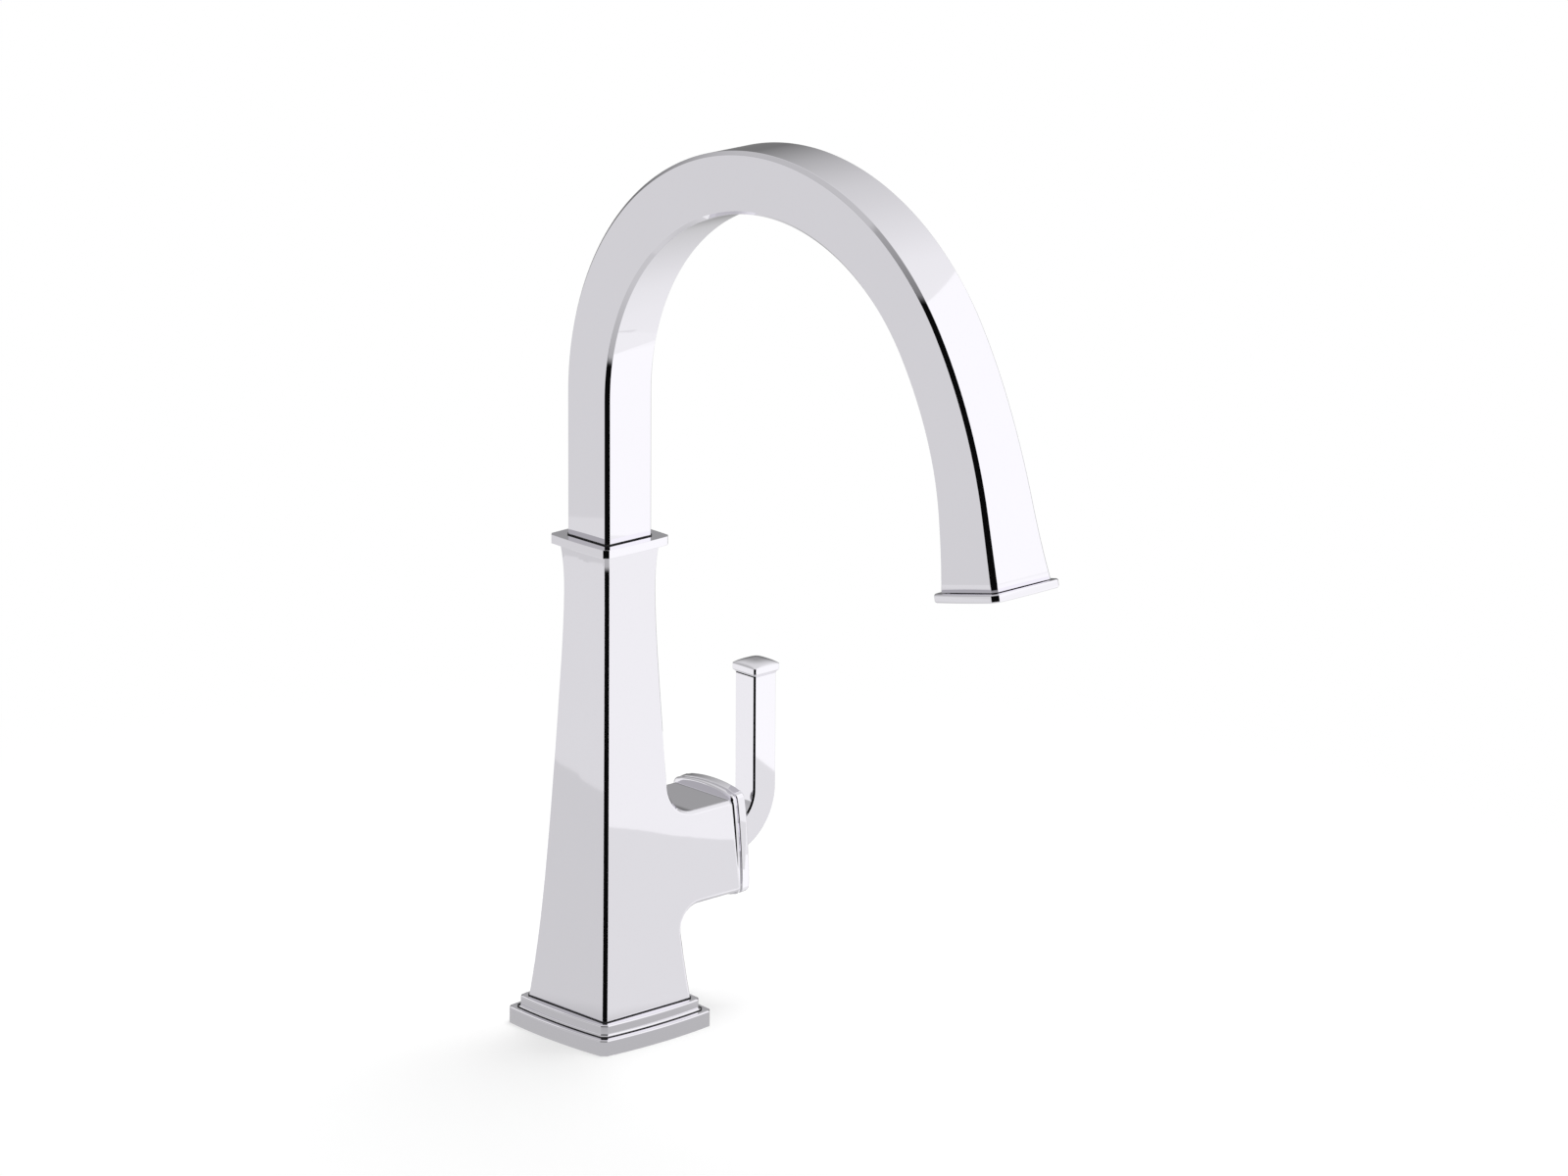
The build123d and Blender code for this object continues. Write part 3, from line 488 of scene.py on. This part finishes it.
def square_bar_group():
    """A square bar with cut and softened corners, swept along the path that it is given."""
    group = bpy.data.node_groups.new("square_bar", "GeometryNodeTree")
    add_inputs(group, "NodeSocketGeometry", "Geometry")
    add_inputs(group, "NodeSocketFloat", "Width", "Depth", "Corner Cut", "Softness")
    add_inputs(group, "NodeSocketMaterial", "Material")
    group.interface.new_socket("Geometry", in_out="OUTPUT", socket_type="NodeSocketGeometry")
    given = add_node(group, "NodeGroupInput").outputs
    result = add_node(group, "NodeGroupOutput")
    square = add_node(group, "GeometryNodeCurvePrimitiveQuadrilateral", mode="RECTANGLE", inputs={
        "Width": given["Width"], "Height": given["Depth"],
    })
    cut = add_node(group, "GeometryNodeFilletCurve", mode="POLY", inputs={
        "Curve": square.outputs[0], "Radius": given["Corner Cut"], "Count": CUT_POINTS,
    })
    soft = add_node(group, "GeometryNodeFilletCurve", mode="POLY", inputs={
        "Curve": cut.outputs[0], "Radius": given["Softness"], "Count": SOFT_POINTS,
    })
    path = add_node(group, "GeometryNodeMeshToCurve", inputs={0: given["Geometry"]})
    girth = add_node(group, "GeometryNodeInputNamedAttribute", data_type="FLOAT", inputs={"Name": "girth"})
    bar = add_node(group, "GeometryNodeCurveToMesh", inputs={
        "Curve": path.outputs[0], "Profile Curve": soft.outputs[0],
        "Scale": girth.outputs[0], "Fill Caps": False,
    })
    smooth = add_node(group, "GeometryNodeSetShadeSmooth", inputs={
        0: bar.outputs[0], "Shade Smooth": True,
    })
    whole = add_node(group, "GeometryNodeRealizeInstances", inputs={0: smooth.outputs[0]})
    finished = add_node(group, "GeometryNodeSetMaterial", inputs={
        0: whole.outputs[0], "Material": given["Material"],
    })
    group.links.new(finished.outputs[0], result.inputs[0])
    return group


SQUARE_BAR = square_bar_group()
print("square bar nodes", len(SQUARE_BAR.nodes))

# %% [markdown]
# A path is a string of points with a girth at each, 1 where the section has its own size. The tree is
# set by the identifiers of its inputs, evaluated once and turned into a plain mesh.


# %% Sweep helpers
def add_tree(piece, name, group, inputs):
    """Puts a tree on a piece, with the values of its named inputs."""
    modifier = piece.modifiers.new(name, "NODES")
    modifier.node_group = group
    for socket in group.interface.items_tree:
        if socket.in_out == "INPUT" and socket.name in inputs:
            modifier[socket.identifier] = inputs[socket.name]


def plain_mesh(piece):
    """Turns a piece with modifiers into one with a plain mesh."""
    bpy.context.view_layer.update()
    evaluated = piece.evaluated_get(bpy.context.evaluated_depsgraph_get())
    mesh = bpy.data.meshes.new_from_object(evaluated)
    piece.modifiers.clear()
    piece.data = mesh
    mesh.name = piece.name
    return piece


def swept_bar(name, points, girths, sizes, material):
    """A square bar along a path, as a plain mesh."""
    mesh = bpy.data.meshes.new(name)
    mesh.from_pydata(points, [(i, i + 1) for i in range(len(points) - 1)], [])
    mesh.attributes.new("girth", "FLOAT", "POINT").data.foreach_set("value", girths)
    piece = new_object(name, mesh)
    add_tree(piece, "bar", SQUARE_BAR, {**sizes, "Material": material})
    return plain_mesh(piece)


print("helpers for trees, plain meshes and swept bars")

# %% [markdown]
# Weighted normals keep the flats flat right up to the softened corners, which matters in chrome: the
# smallest slope bends a mirrored line. Then the piece rides on its body and stands for its solid.


# %% Finishing helper
def finish_piece(piece, material, body, nodes):
    """Gives a piece its finish, its body and the solids that it stands for."""
    piece.data.materials.clear()
    piece.data.materials.append(material)
    piece.data.polygons.foreach_set("use_smooth", [True] * len(piece.data.polygons))
    modifier = piece.modifiers.new("normals", "WEIGHTED_NORMAL")
    modifier.keep_sharp = True
    plain_mesh(piece)
    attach(piece, body)
    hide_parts(*nodes)
    print(piece.name, len(piece.data.polygons), "faces")
    return piece


print("helper for a piece's finish and body")

# %% [markdown]
# The spout's path lies in the plane x = 0. Each arc carries on in the direction where the last one
# ended, so one heading runs through the whole path, and the last stretch is straight, for the spray
# head to slide in.

# %% Spout path
NECK_BOTTOM = 203.4 * MM
NECK_TOP = 261.0 * MM
ARCS = ((101.6 * MM, 90.0), (100.0 * MM, 57.2), (180.0 * MM, 21.0))
TIP_STRAIGHT = 28.0 * MM
ARC_STEP = 1.5
STRAIGHT_STEPS = 8


def arc_points(start, heading, radius, turn):
    """Points along an arc in the plane x = 0 that bends from up towards -Y, after its start."""
    centre = start + radius * Vector((0, -cos(heading), -sin(heading)))
    count = round(turn / ARC_STEP)
    angles = [heading + radians(turn) * (step + 1) / count for step in range(count)]
    return [centre + radius * Vector((0, cos(angle), sin(angle))) for angle in angles]


spout_path = [Vector((0, 0, NECK_BOTTOM)), Vector((0, 0, NECK_TOP))]
heading = 0.0
for radius, turn in ARCS:
    tip_start = len(spout_path) - 1
    spout_path += arc_points(spout_path[-1], heading, radius, turn)
    heading += radians(turn)
mouth_way = Vector((0, -sin(heading), cos(heading)))
bend_end = spout_path[-1]
for step in range(STRAIGHT_STEPS):
    spout_path.append(bend_end + mouth_way * TIP_STRAIGHT * (step + 1) / STRAIGHT_STEPS)
mouth = spout_path[-1]
print("path points", len(spout_path), "mouth", [round(v, 4) for v in mouth])

# %% [markdown]
# The tube swells from the start of the last arc to the mouth, slowly at first. The sweep gives its
# skin, and Solidify gives the skin its wall.

# %% Spout
NECK_HALF = 12.18 * MM
NECK_CUT = 1.5 * MM
CORNER_SOFT = 0.3 * MM
TIP_FLARE = 3.2 * MM
FLARE_POWER = 3
SPOUT_WALL = 2.0 * MM

tip_runs = [0.0]
for before, after in zip(spout_path[tip_start:], spout_path[tip_start + 1:]):
    tip_runs.append(tip_runs[-1] + (after - before).length)
swell = TIP_FLARE / NECK_HALF
girths = [1.0] * tip_start
girths += [1 + swell * (run / tip_runs[-1]) ** FLARE_POWER for run in tip_runs]
spout = swept_bar("spout", spout_path, girths, {
    "Width": 2 * NECK_HALF, "Depth": 2 * NECK_HALF, "Corner Cut": NECK_CUT, "Softness": CORNER_SOFT,
}, FINISHES["chrome"])
wall_maker = spout.modifiers.new("wall", "SOLIDIFY")
wall_maker.thickness = SPOUT_WALL
wall_maker.use_even_offset = True
finish_piece(spout, FINISHES["chrome"], "spout", ["spout_shell"])

# %% [markdown]
# The other chrome pieces are built up in rings: a square outline with bowed sides and cut corners is
# repeated at one level after another. Every outline has the same number of points, so neighbours join
# with four-sided faces.

# %% Outlines
SIDE_STEPS = 10


def softened(before, corner, after, soft):
    """Three points that round one corner of an outline."""
    first = corner + (before - corner).normalized() * soft
    last = corner + (after - corner).normalized() * soft
    return [first, (first + 2 * corner + last) / 4, last]


def square_outline(half_x, half_y, bow, cut, soft):
    """A rectangle as flat points, its corners cut and softened and its sides bowed: bow is a pair for the
    sides across X and across Y."""
    near_x, near_y = half_x - cut, half_y - cut
    corners = [(near_x, -half_y), (half_x, -near_y), (half_x, near_y), (near_x, half_y)]
    corners = [Vector(c) for c in corners + [(-x, -y) for x, y in corners]]
    points = []
    for i, corner in enumerate(corners):
        after = corners[(i + 1) % len(corners)]
        points += softened(corners[i - 1], corner, after, soft)
        if i % 2 == 1:
            side = after - corner
            outwards = Vector((side.y, -side.x)).normalized()
            for step in range(1, SIDE_STEPS):
                t = step / SIDE_STEPS
                swell = abs(outwards.x) * bow[0] + abs(outwards.y) * bow[1]
                points.append(corner + side * t + outwards * swell * (1 - (2 * t - 1) ** 2))
    return points


def round_outline(outline, radius):
    """A circle with one point for each point of an outline."""
    return [point.normalized() * radius for point in outline]


print("outline points", len(square_outline(1.0, 1.0, (0.1, 0.1), 0.1, 0.01)))

# %% [markdown]
# A profile is a list of levels, each with how far the outline is drawn in there. A rounded edge is a
# quarter of a circle in the profile. Rings either end in flat caps or close on themselves round a hole.

# %% Ring pieces
EDGE_ANGLES = [radians(a) for a in (0, 22.5, 45, 67.5, 90)]


def convex_edge(level, inset, radius, rise):
    """Levels and insets round an outer edge: rising from a side to a top, or with rise -1 the other way."""
    steps = [(level - rise * radius * (1 - sin(a)), inset + radius * (1 - cos(a))) for a in EDGE_ANGLES]
    return steps if rise > 0 else steps[::-1]


def concave_edge(level, inset, radius):
    """Levels and insets up an inner edge, from a ledge into a wall."""
    return [(level + radius * (1 - cos(a)), inset - radius * (1 - sin(a))) for a in EDGE_ANGLES]


def ring_piece(name, rings, place, closed=False):
    """A mesh from rings of flat points with their levels, set into place by a matrix."""
    count = len(rings[0][1])
    points = [place @ Vector((p.x, p.y, level)) for level, outline in rings for p in outline]
    faces = []
    pairs = list(zip(range(len(rings)), range(1, len(rings))))
    if closed:
        pairs.append((len(rings) - 1, 0))
    for low, high in pairs:
        for k in range(count):
            after = (k + 1) % count
            faces.append((low * count + k, low * count + after, high * count + after, high * count + k))
    if not closed:
        faces.append(tuple(reversed(range(count))))
        faces.append(tuple(range((len(rings) - 1) * count, len(rings) * count)))
    mesh = bpy.data.meshes.new(name)
    mesh.from_pydata(points, [], faces)
    return new_object(name, mesh)


def local_frame(across, upwards, outwards, place):
    """The matrix that stands rings up at a place, with their levels going outwards."""
    turned = Matrix((across, upwards, outwards)).transposed().to_4x4()
    turned.translation = place
    return turned


UPRIGHT = Matrix.Identity(4)
print("points in a rounded edge", len(EDGE_ANGLES))

# %% [markdown]
# The plinth is a plate and a smaller step. Both have rounded top edges, and a small cove runs where the
# step stands on the plate. The bright lines round the plinth are these rounded edges.

# %% Plinth
PLATE_HALF = 29.3 * MM
PLATE_BOW = 1.7 * MM
PLATE_TOP = 6.6 * MM
STEP_INSET = 3.2 * MM
STEP_BOW = 1.3 * MM
PLINTH_TOP = 11.3 * MM
PLINTH_CUT = 2.0 * MM
PLINTH_EDGE = 0.7 * MM
LEDGE_COVE = 1.0 * MM
HIDDEN_INSET = 12.0 * MM

profile = [(0.0, 0.0)]
profile += convex_edge(PLATE_TOP, 0.0, PLINTH_EDGE, 1)
profile += concave_edge(PLATE_TOP, STEP_INSET, LEDGE_COVE)
profile += convex_edge(PLINTH_TOP, STEP_INSET, PLINTH_EDGE, 1)
profile += [(PLINTH_TOP, HIDDEN_INSET)]
rings = []
for level, inset in profile:
    share = min(inset / STEP_INSET, 1.0)
    half = PLATE_HALF - inset
    bow = PLATE_BOW + (STEP_BOW - PLATE_BOW) * share
    rings.append((level, square_outline(half, half, (bow, bow), PLINTH_CUT, CORNER_SOFT)))
plinth = ring_piece("plinth", rings, UPRIGHT)
finish_piece(plinth, FINISHES["chrome"], "base", ["base_plinth"])

# %% [markdown]
# The flange at the end of the housing stays still and the plate beside it turns with the lever. They
# share an outline and lean with the column's face, so both are built in a frame whose Z axis is the
# valve's. In the picture the lever mirrors the studio and not the plate close beside it, so mirror rays
# pass by both of them, and by the valve inside the housing, which would show behind them.

# %% Flange and handle plate
VALVE_PLACE = Vector((51.2, 0, 67.6)) * MM
VALVE_LEAN = radians(4.2)
HUB_WIDE = 18.5 * MM
HUB_TALL = 23.4 * MM
HUB_BOWS = (0.7 * MM, 1.9 * MM)
HUB_CUT = 1.76 * MM
HUB_SOFT = 1.24 * MM
FLANGE_THICK = 2.0 * MM
PLATE_BACK = 2.7 * MM
PLATE_FACE = 7.0 * MM
FLANGE_EDGE = 0.4 * MM
FLANGE_ROUND = 0.9 * MM
PLATE_EDGE = 0.9 * MM
VALVE_PIECES = (
    "valve_block", "cartridge_body", "cartridge_seals", "cartridge_nut", "valve_stem", "set_screw",
    "hot_tube", "cold_tube", "outlet_tube",
)

valve_axis = Vector((cos(VALVE_LEAN), 0, sin(VALVE_LEAN)))
valve_across = Vector((0, 1, 0))
VALVE = local_frame(valve_across, valve_axis.cross(valve_across), valve_axis, VALVE_PLACE)


def hub_ring(level, inset):
    """One ring of the outline that the flange and the plate share."""
    wide = HUB_WIDE - HUB_BOWS[0] - inset
    tall = HUB_TALL - HUB_BOWS[1] - inset
    return level, square_outline(wide, tall, HUB_BOWS, HUB_CUT, HUB_SOFT)


profile = convex_edge(0.0, 0.0, FLANGE_ROUND, -1) + convex_edge(FLANGE_THICK, 0.0, FLANGE_EDGE, 1)
flange = ring_piece("flange", [hub_ring(*step) for step in profile], VALVE)
finish_piece(flange, FINISHES["chrome"], "base", ["trim_flange"])
profile = convex_edge(PLATE_BACK, 0.0, FLANGE_EDGE, -1) + convex_edge(PLATE_FACE, 0.0, PLATE_EDGE, 1)
handle_plate = ring_piece("handle_plate", [hub_ring(*step) for step in profile], VALVE)
finish_piece(handle_plate, FINISHES["chrome"], "handle", ["handle_plate"])
for unseen in (flange, handle_plate, *(frame["nodes"][name] for name in VALVE_PIECES)):
    unseen.visible_glossy = False

# %% [markdown]
# The lever is the same kind of bar as the spout, on a short path: out of the plate, round one bend and
# up.

# %% Lever
LEVER_THICK = 11.8 * MM
LEVER_DEPTH = 12.1 * MM
LEVER_CUT = 0.7 * MM
LEVER_SOFT = 0.1 * MM
LEVER_START = Vector((57.0, 0, 64.9)) * MM
LEVER_BEND = 18.9 * MM
LEVER_X = 78.6 * MM
LEVER_TOP = 130.9 * MM
BEND_STEPS = 24

bend_centre = Vector((LEVER_X - LEVER_BEND, 0, LEVER_START.z + LEVER_BEND))
lever_path = [LEVER_START]
for step in range(BEND_STEPS + 1):
    angle = pi / 2 * step / BEND_STEPS
    lever_path.append(bend_centre + LEVER_BEND * Vector((sin(angle), 0, -cos(angle))))
lever_path.append(Vector((LEVER_X, 0, LEVER_TOP)))
lever = swept_bar("lever", lever_path, [1.0] * len(lever_path), {
    "Width": LEVER_THICK, "Depth": LEVER_DEPTH, "Corner Cut": LEVER_CUT, "Softness": LEVER_SOFT,
}, FINISHES["chrome"])
finish_piece(lever, FINISHES["chrome"], "handle", ["lever"])

# %% [markdown]
# The lever ends in a small square cap: a hollow flare, a band and a pillow crown. The crown starts as
# smaller and smaller squares, and then each point is lifted by a rule that is highest in the middle and
# level along all four sides.

# %% Lever cap
CAP_HALF = 6.95 * MM
CAP_FLARE = 1.4 * MM
CAP_BAND = 2.3 * MM
CAP_CROWN = 1.9 * MM
CAP_EDGE = 0.25 * MM
CROWN_STEPS = 12
CROWN_FLATNESS = 3
CROWN_FULLNESS = 0.5

foot_inset = CAP_HALF - LEVER_THICK / 2
flare = [(CAP_FLARE * sin(a), foot_inset * cos(a) ** 2) for a in EDGE_ANGLES]
band_top = CAP_FLARE + CAP_BAND
profile = flare[:-1] + convex_edge(CAP_FLARE, 0.0, CAP_EDGE, -1)[1:]
profile += [(band_top, CAP_HALF * (step / CROWN_STEPS) ** 2) for step in range(CROWN_STEPS)]
rings = []
for level, inset in profile:
    share = 1 - inset / CAP_HALF
    half = CAP_HALF * share
    rings.append((level, square_outline(half, half, (0.0, 0.0), LEVER_CUT * share, LEVER_SOFT * share)))
lever_cap = ring_piece("lever_cap", rings, Matrix.Translation((LEVER_X, 0, LEVER_TOP)))
crown_foot = LEVER_TOP + band_top
for vertex in lever_cap.data.vertices:
    if vertex.co.z > crown_foot - CAP_EDGE:
        across = 1 - min(abs(vertex.co.x - LEVER_X) / CAP_HALF, 1.0) ** CROWN_FLATNESS
        along = 1 - min(abs(vertex.co.y) / CAP_HALF, 1.0) ** CROWN_FLATNESS
        vertex.co.z = crown_foot + CAP_CROWN * (across * along) ** CROWN_FULLNESS
finish_piece(lever_cap, FINISHES["chrome"], "handle", ["lever_cap"])

# %% [markdown]
# The rim of the spray head covers the spout's mouth like a thin square plate with a round hole. Its
# last rings change from a square to a circle, and the rings close on themselves round the hole.

# %% Spray rim
RIM_HALF = 17.48 * MM
RIM_BOW = 0.5 * MM
RIM_CUT = 2.1 * MM
RIM_TOP = 0.35 * MM
RIM_FACE = 3.65 * MM
RIM_EDGE = 0.7 * MM
FACE_RADIUS = 11.33 * MM
FACE_BACK = 1.55 * MM
CHAMBER_RADIUS = 7.5 * MM

mouth_across = Vector((1, 0, 0))
MOUTH = local_frame(mouth_across, mouth_way.cross(mouth_across), mouth_way, mouth)
square = square_outline(RIM_HALF, RIM_HALF, (RIM_BOW, RIM_BOW), RIM_CUT, CORNER_SOFT)
profile = convex_edge(RIM_TOP, 0.0, RIM_EDGE, -1) + convex_edge(RIM_FACE, 0.0, RIM_EDGE, 1)
rings = [(RIM_TOP, round_outline(square, CHAMBER_RADIUS))]
for level, inset in profile:
    half = RIM_HALF - inset
    rings.append((level, square_outline(half, half, (RIM_BOW, RIM_BOW), RIM_CUT, CORNER_SOFT)))
rings.append((RIM_FACE, round_outline(square, FACE_RADIUS)))
rings.append((FACE_BACK, round_outline(square, FACE_RADIUS)))
rings.append((FACE_BACK, round_outline(square, CHAMBER_RADIUS)))
rim = ring_piece("spray_rim", rings, MOUTH, closed=True)
finish_piece(rim, FINISHES["chrome"], "spray_head", ["head_rim"])

# %% [markdown]
# Fine dark lines part the chrome pieces: a dust ring round the foot of the turning neck, and two dark beads
# of painted shade on the plinth. One lies in the joint where the column stands on the plinth and stands in
# for the shadow there; the other lies where the step stands on the plate, and stands in for the shadow in
# that inner corner. Each is a thin square ring of rubber.

# %% Dust ring and painted shade beads
COLLAR_TOP = 202.95 * MM
COLUMN_FOOT = 23.4 * MM
COLUMN_CUT = 1.35 * MM
BEAD_PROUD = 0.3 * MM
BEAD_HEIGHT = 0.35 * MM
STEP_FOOT = PLATE_HALF - STEP_INSET + LEDGE_COVE - BEAD_PROUD


def bead(name, half, bow, cut, level, body):
    """A thin square ring that stands a little proud of a foot with cut corners."""
    inner = square_outline(half, half, (bow, bow), cut, CORNER_SOFT)
    outer = square_outline(half + BEAD_PROUD, half + BEAD_PROUD, (bow, bow), cut, CORNER_SOFT)
    top = level + BEAD_HEIGHT
    rings = [(level, inner), (level, outer), (top, outer), (top, inner)]
    piece = ring_piece(name, rings, UPRIGHT, closed=True)
    finish_piece(piece, FINISHES["rubber"], body, [])


bead("neck_dust_ring", NECK_HALF, 0.0, NECK_CUT, COLLAR_TOP, "spout")
# The two rings on the plinth below are painted shade: dark rubber in place of the shadow in its inner
# corners.
bead("column_foot_shade_bead", COLUMN_FOOT, 0.0, COLUMN_CUT, PLINTH_TOP, "base")
bead("step_foot_shade_bead", STEP_FOOT, STEP_BOW, PLINTH_CUT, PLATE_TOP, "base")

# %% [markdown]
# Two rings of soft nozzles stand a little proud of the spray face. They repeat, so a tree places them:
# two circles of points, with one short cone on each.

# %% Nozzle tree
NOZZLE_POINTS = 16
NOZZLE_BANDS = 2


def nozzle_group():
    """Two circles of short cones."""
    group = bpy.data.node_groups.new("nozzle_rings", "GeometryNodeTree")
    add_inputs(group, "NodeSocketGeometry", "Geometry")
    add_inputs(group, "NodeSocketInt", "Inner Count", "Outer Count")
    add_inputs(group, "NodeSocketFloat", "Inner Orbit", "Outer Orbit")
    add_inputs(group, "NodeSocketFloat", "Foot Radius", "Tip Radius", "Height")
    add_inputs(group, "NodeSocketMaterial", "Material")
    group.interface.new_socket("Geometry", in_out="OUTPUT", socket_type="NodeSocketGeometry")
    given = add_node(group, "NodeGroupInput").outputs
    result = add_node(group, "NodeGroupOutput")
    both = add_node(group, "GeometryNodeJoinGeometry")
    for ring in ("Outer", "Inner"):
        circle = add_node(group, "GeometryNodeMeshCircle", fill_type="NONE", inputs={
            "Vertices": given[f"{ring} Count"], "Radius": given[f"{ring} Orbit"],
        })
        group.links.new(circle.outputs[0], both.inputs[0])
    nozzle = add_node(group, "GeometryNodeMeshCone", inputs={
        "Vertices": NOZZLE_POINTS, "Side Segments": NOZZLE_BANDS, "Radius Top": given["Tip Radius"],
        "Radius Bottom": given["Foot Radius"], "Depth": given["Height"],
    })
    placed = add_node(group, "GeometryNodeInstanceOnPoints", inputs={
        "Points": both.outputs[0], "Instance": nozzle.outputs[0],
    })
    whole = add_node(group, "GeometryNodeRealizeInstances", inputs={0: placed.outputs[0]})
    finished = add_node(group, "GeometryNodeSetMaterial", inputs={
        0: whole.outputs[0], "Material": given["Material"],
    })
    group.links.new(finished.outputs[0], result.inputs[0])
    return group


NOZZLE_RINGS = nozzle_group()
print("nozzle ring nodes", len(NOZZLE_RINGS.nodes))

# %% [markdown]
# The tree's result lies flat at the origin, so its mesh is carried to the mouth by the same matrix as
# the rim.

# %% Nozzles
NOZZLE_SIZES = {
    "Inner Count": 8, "Inner Orbit": 6.4 * MM, "Outer Count": 14, "Outer Orbit": 9.4 * MM,
    "Foot Radius": 0.8 * MM, "Tip Radius": 0.55 * MM, "Height": 1.2 * MM,
}
NOZZLE_LEVEL = 2.65 * MM

nozzles = new_object("nozzles", bpy.data.meshes.new("nozzles"))
add_tree(nozzles, "rings", NOZZLE_RINGS, {**NOZZLE_SIZES, "Material": FINISHES["rubber"]})
plain_mesh(nozzles)
nozzles.data.transform(MOUTH @ Matrix.Translation((0, 0, NOZZLE_LEVEL)))
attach(nozzles, "spray_head")
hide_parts("spray_nozzles")
print("nozzles", len(nozzles.data.polygons), "faces")

# %% [markdown]
# When the head is pulled down, the braided hose follows it out of the mouth. A short stub of hose
# inside the mouth stands for it: its rings spread out between the spout and the head. It has a map of
# its own, once round it and along the length that it can reach.

# %% Hose stub
HOSE_RADIUS = 5.1 * MM
STUB_START = -30.0 * MM
STUB_LENGTH = 1.8 * MM
STUB_RINGS = 49
HOSE_POINTS = 24

turns = [2 * pi * k / HOSE_POINTS for k in range(HOSE_POINTS)]
circle = [HOSE_RADIUS * Vector((cos(a), sin(a))) for a in turns]
rings = [(STUB_START + STUB_LENGTH * k / (STUB_RINGS - 1), circle) for k in range(STUB_RINGS)]
stub = ring_piece("hose_stub", rings, MOUTH)
braid_map = stub.data.uv_layers.new(name="braid")
for polygon in stub.data.polygons:
    places = [divmod(vertex, HOSE_POINTS) for vertex in polygon.vertices]
    crosses_seam = max(k for _, k in places) - min(k for _, k in places) > 1
    for loop, (ring, k) in zip(polygon.loop_indices, places):
        turn = 1.0 if crosses_seam and k == 0 else k / HOSE_POINTS
        braid_map.data[loop].uv = (turn, ring / (STUB_RINGS - 1))
stub.data.polygons.foreach_set("use_smooth", [True] * len(stub.data.polygons))
print("hose stub", len(stub.data.polygons), "faces")

# %% [markdown]
# The braid is two sets of slanting waves over that map, one leaning each way. Where either stands high
# there is a pale thread, and the dark gaps between the threads lie a little lower.

# %% Braid
BRAID_ROUND = 10.0
BRAID_ALONG = 50.0
THREAD_EDGES = (-0.6, 1.0)
GAP_COLOUR = grey(0.06)
THREAD_COLOUR = (0.3, 0.31, 0.33, 1.0)
THREAD_ROUGHNESS = 0.5
THREAD_RELIEF = 0.2 * MM
RELIEF_STRENGTH = 0.6

braid, tree, output = new_material("braid")
place = add_node(tree, "ShaderNodeUVMap", uv_map="braid").outputs[0]
split = add_node(tree, "ShaderNodeSeparateXYZ", inputs={0: place})
round_way = maths(tree, "MULTIPLY", split.outputs[0], 2 * pi * BRAID_ROUND)
long_way = maths(tree, "MULTIPLY", split.outputs[1], 2 * pi * BRAID_ALONG)
strands = [maths(tree, "SINE", maths(tree, lean, round_way, long_way)) for lean in ("ADD", "SUBTRACT")]
mask = map_range(tree, maths(tree, "MAXIMUM", *strands), *THREAD_EDGES)
thread = mix_colours(tree, mask, GAP_COLOUR, THREAD_COLOUR)
relief = add_node(tree, "ShaderNodeBump", inputs={
    "Strength": RELIEF_STRENGTH, "Distance": THREAD_RELIEF, "Height": mask,
})
shader = add_node(tree, "ShaderNodeBsdfPrincipled", inputs={
    "Base Color": thread, "Roughness": THREAD_ROUGHNESS, "Normal": relief.outputs[0],
})
tree.links.new(shader.outputs[0], output.inputs[0])
stub.data.materials.append(braid)
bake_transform(stub)
print("braid nodes", len(tree.nodes))
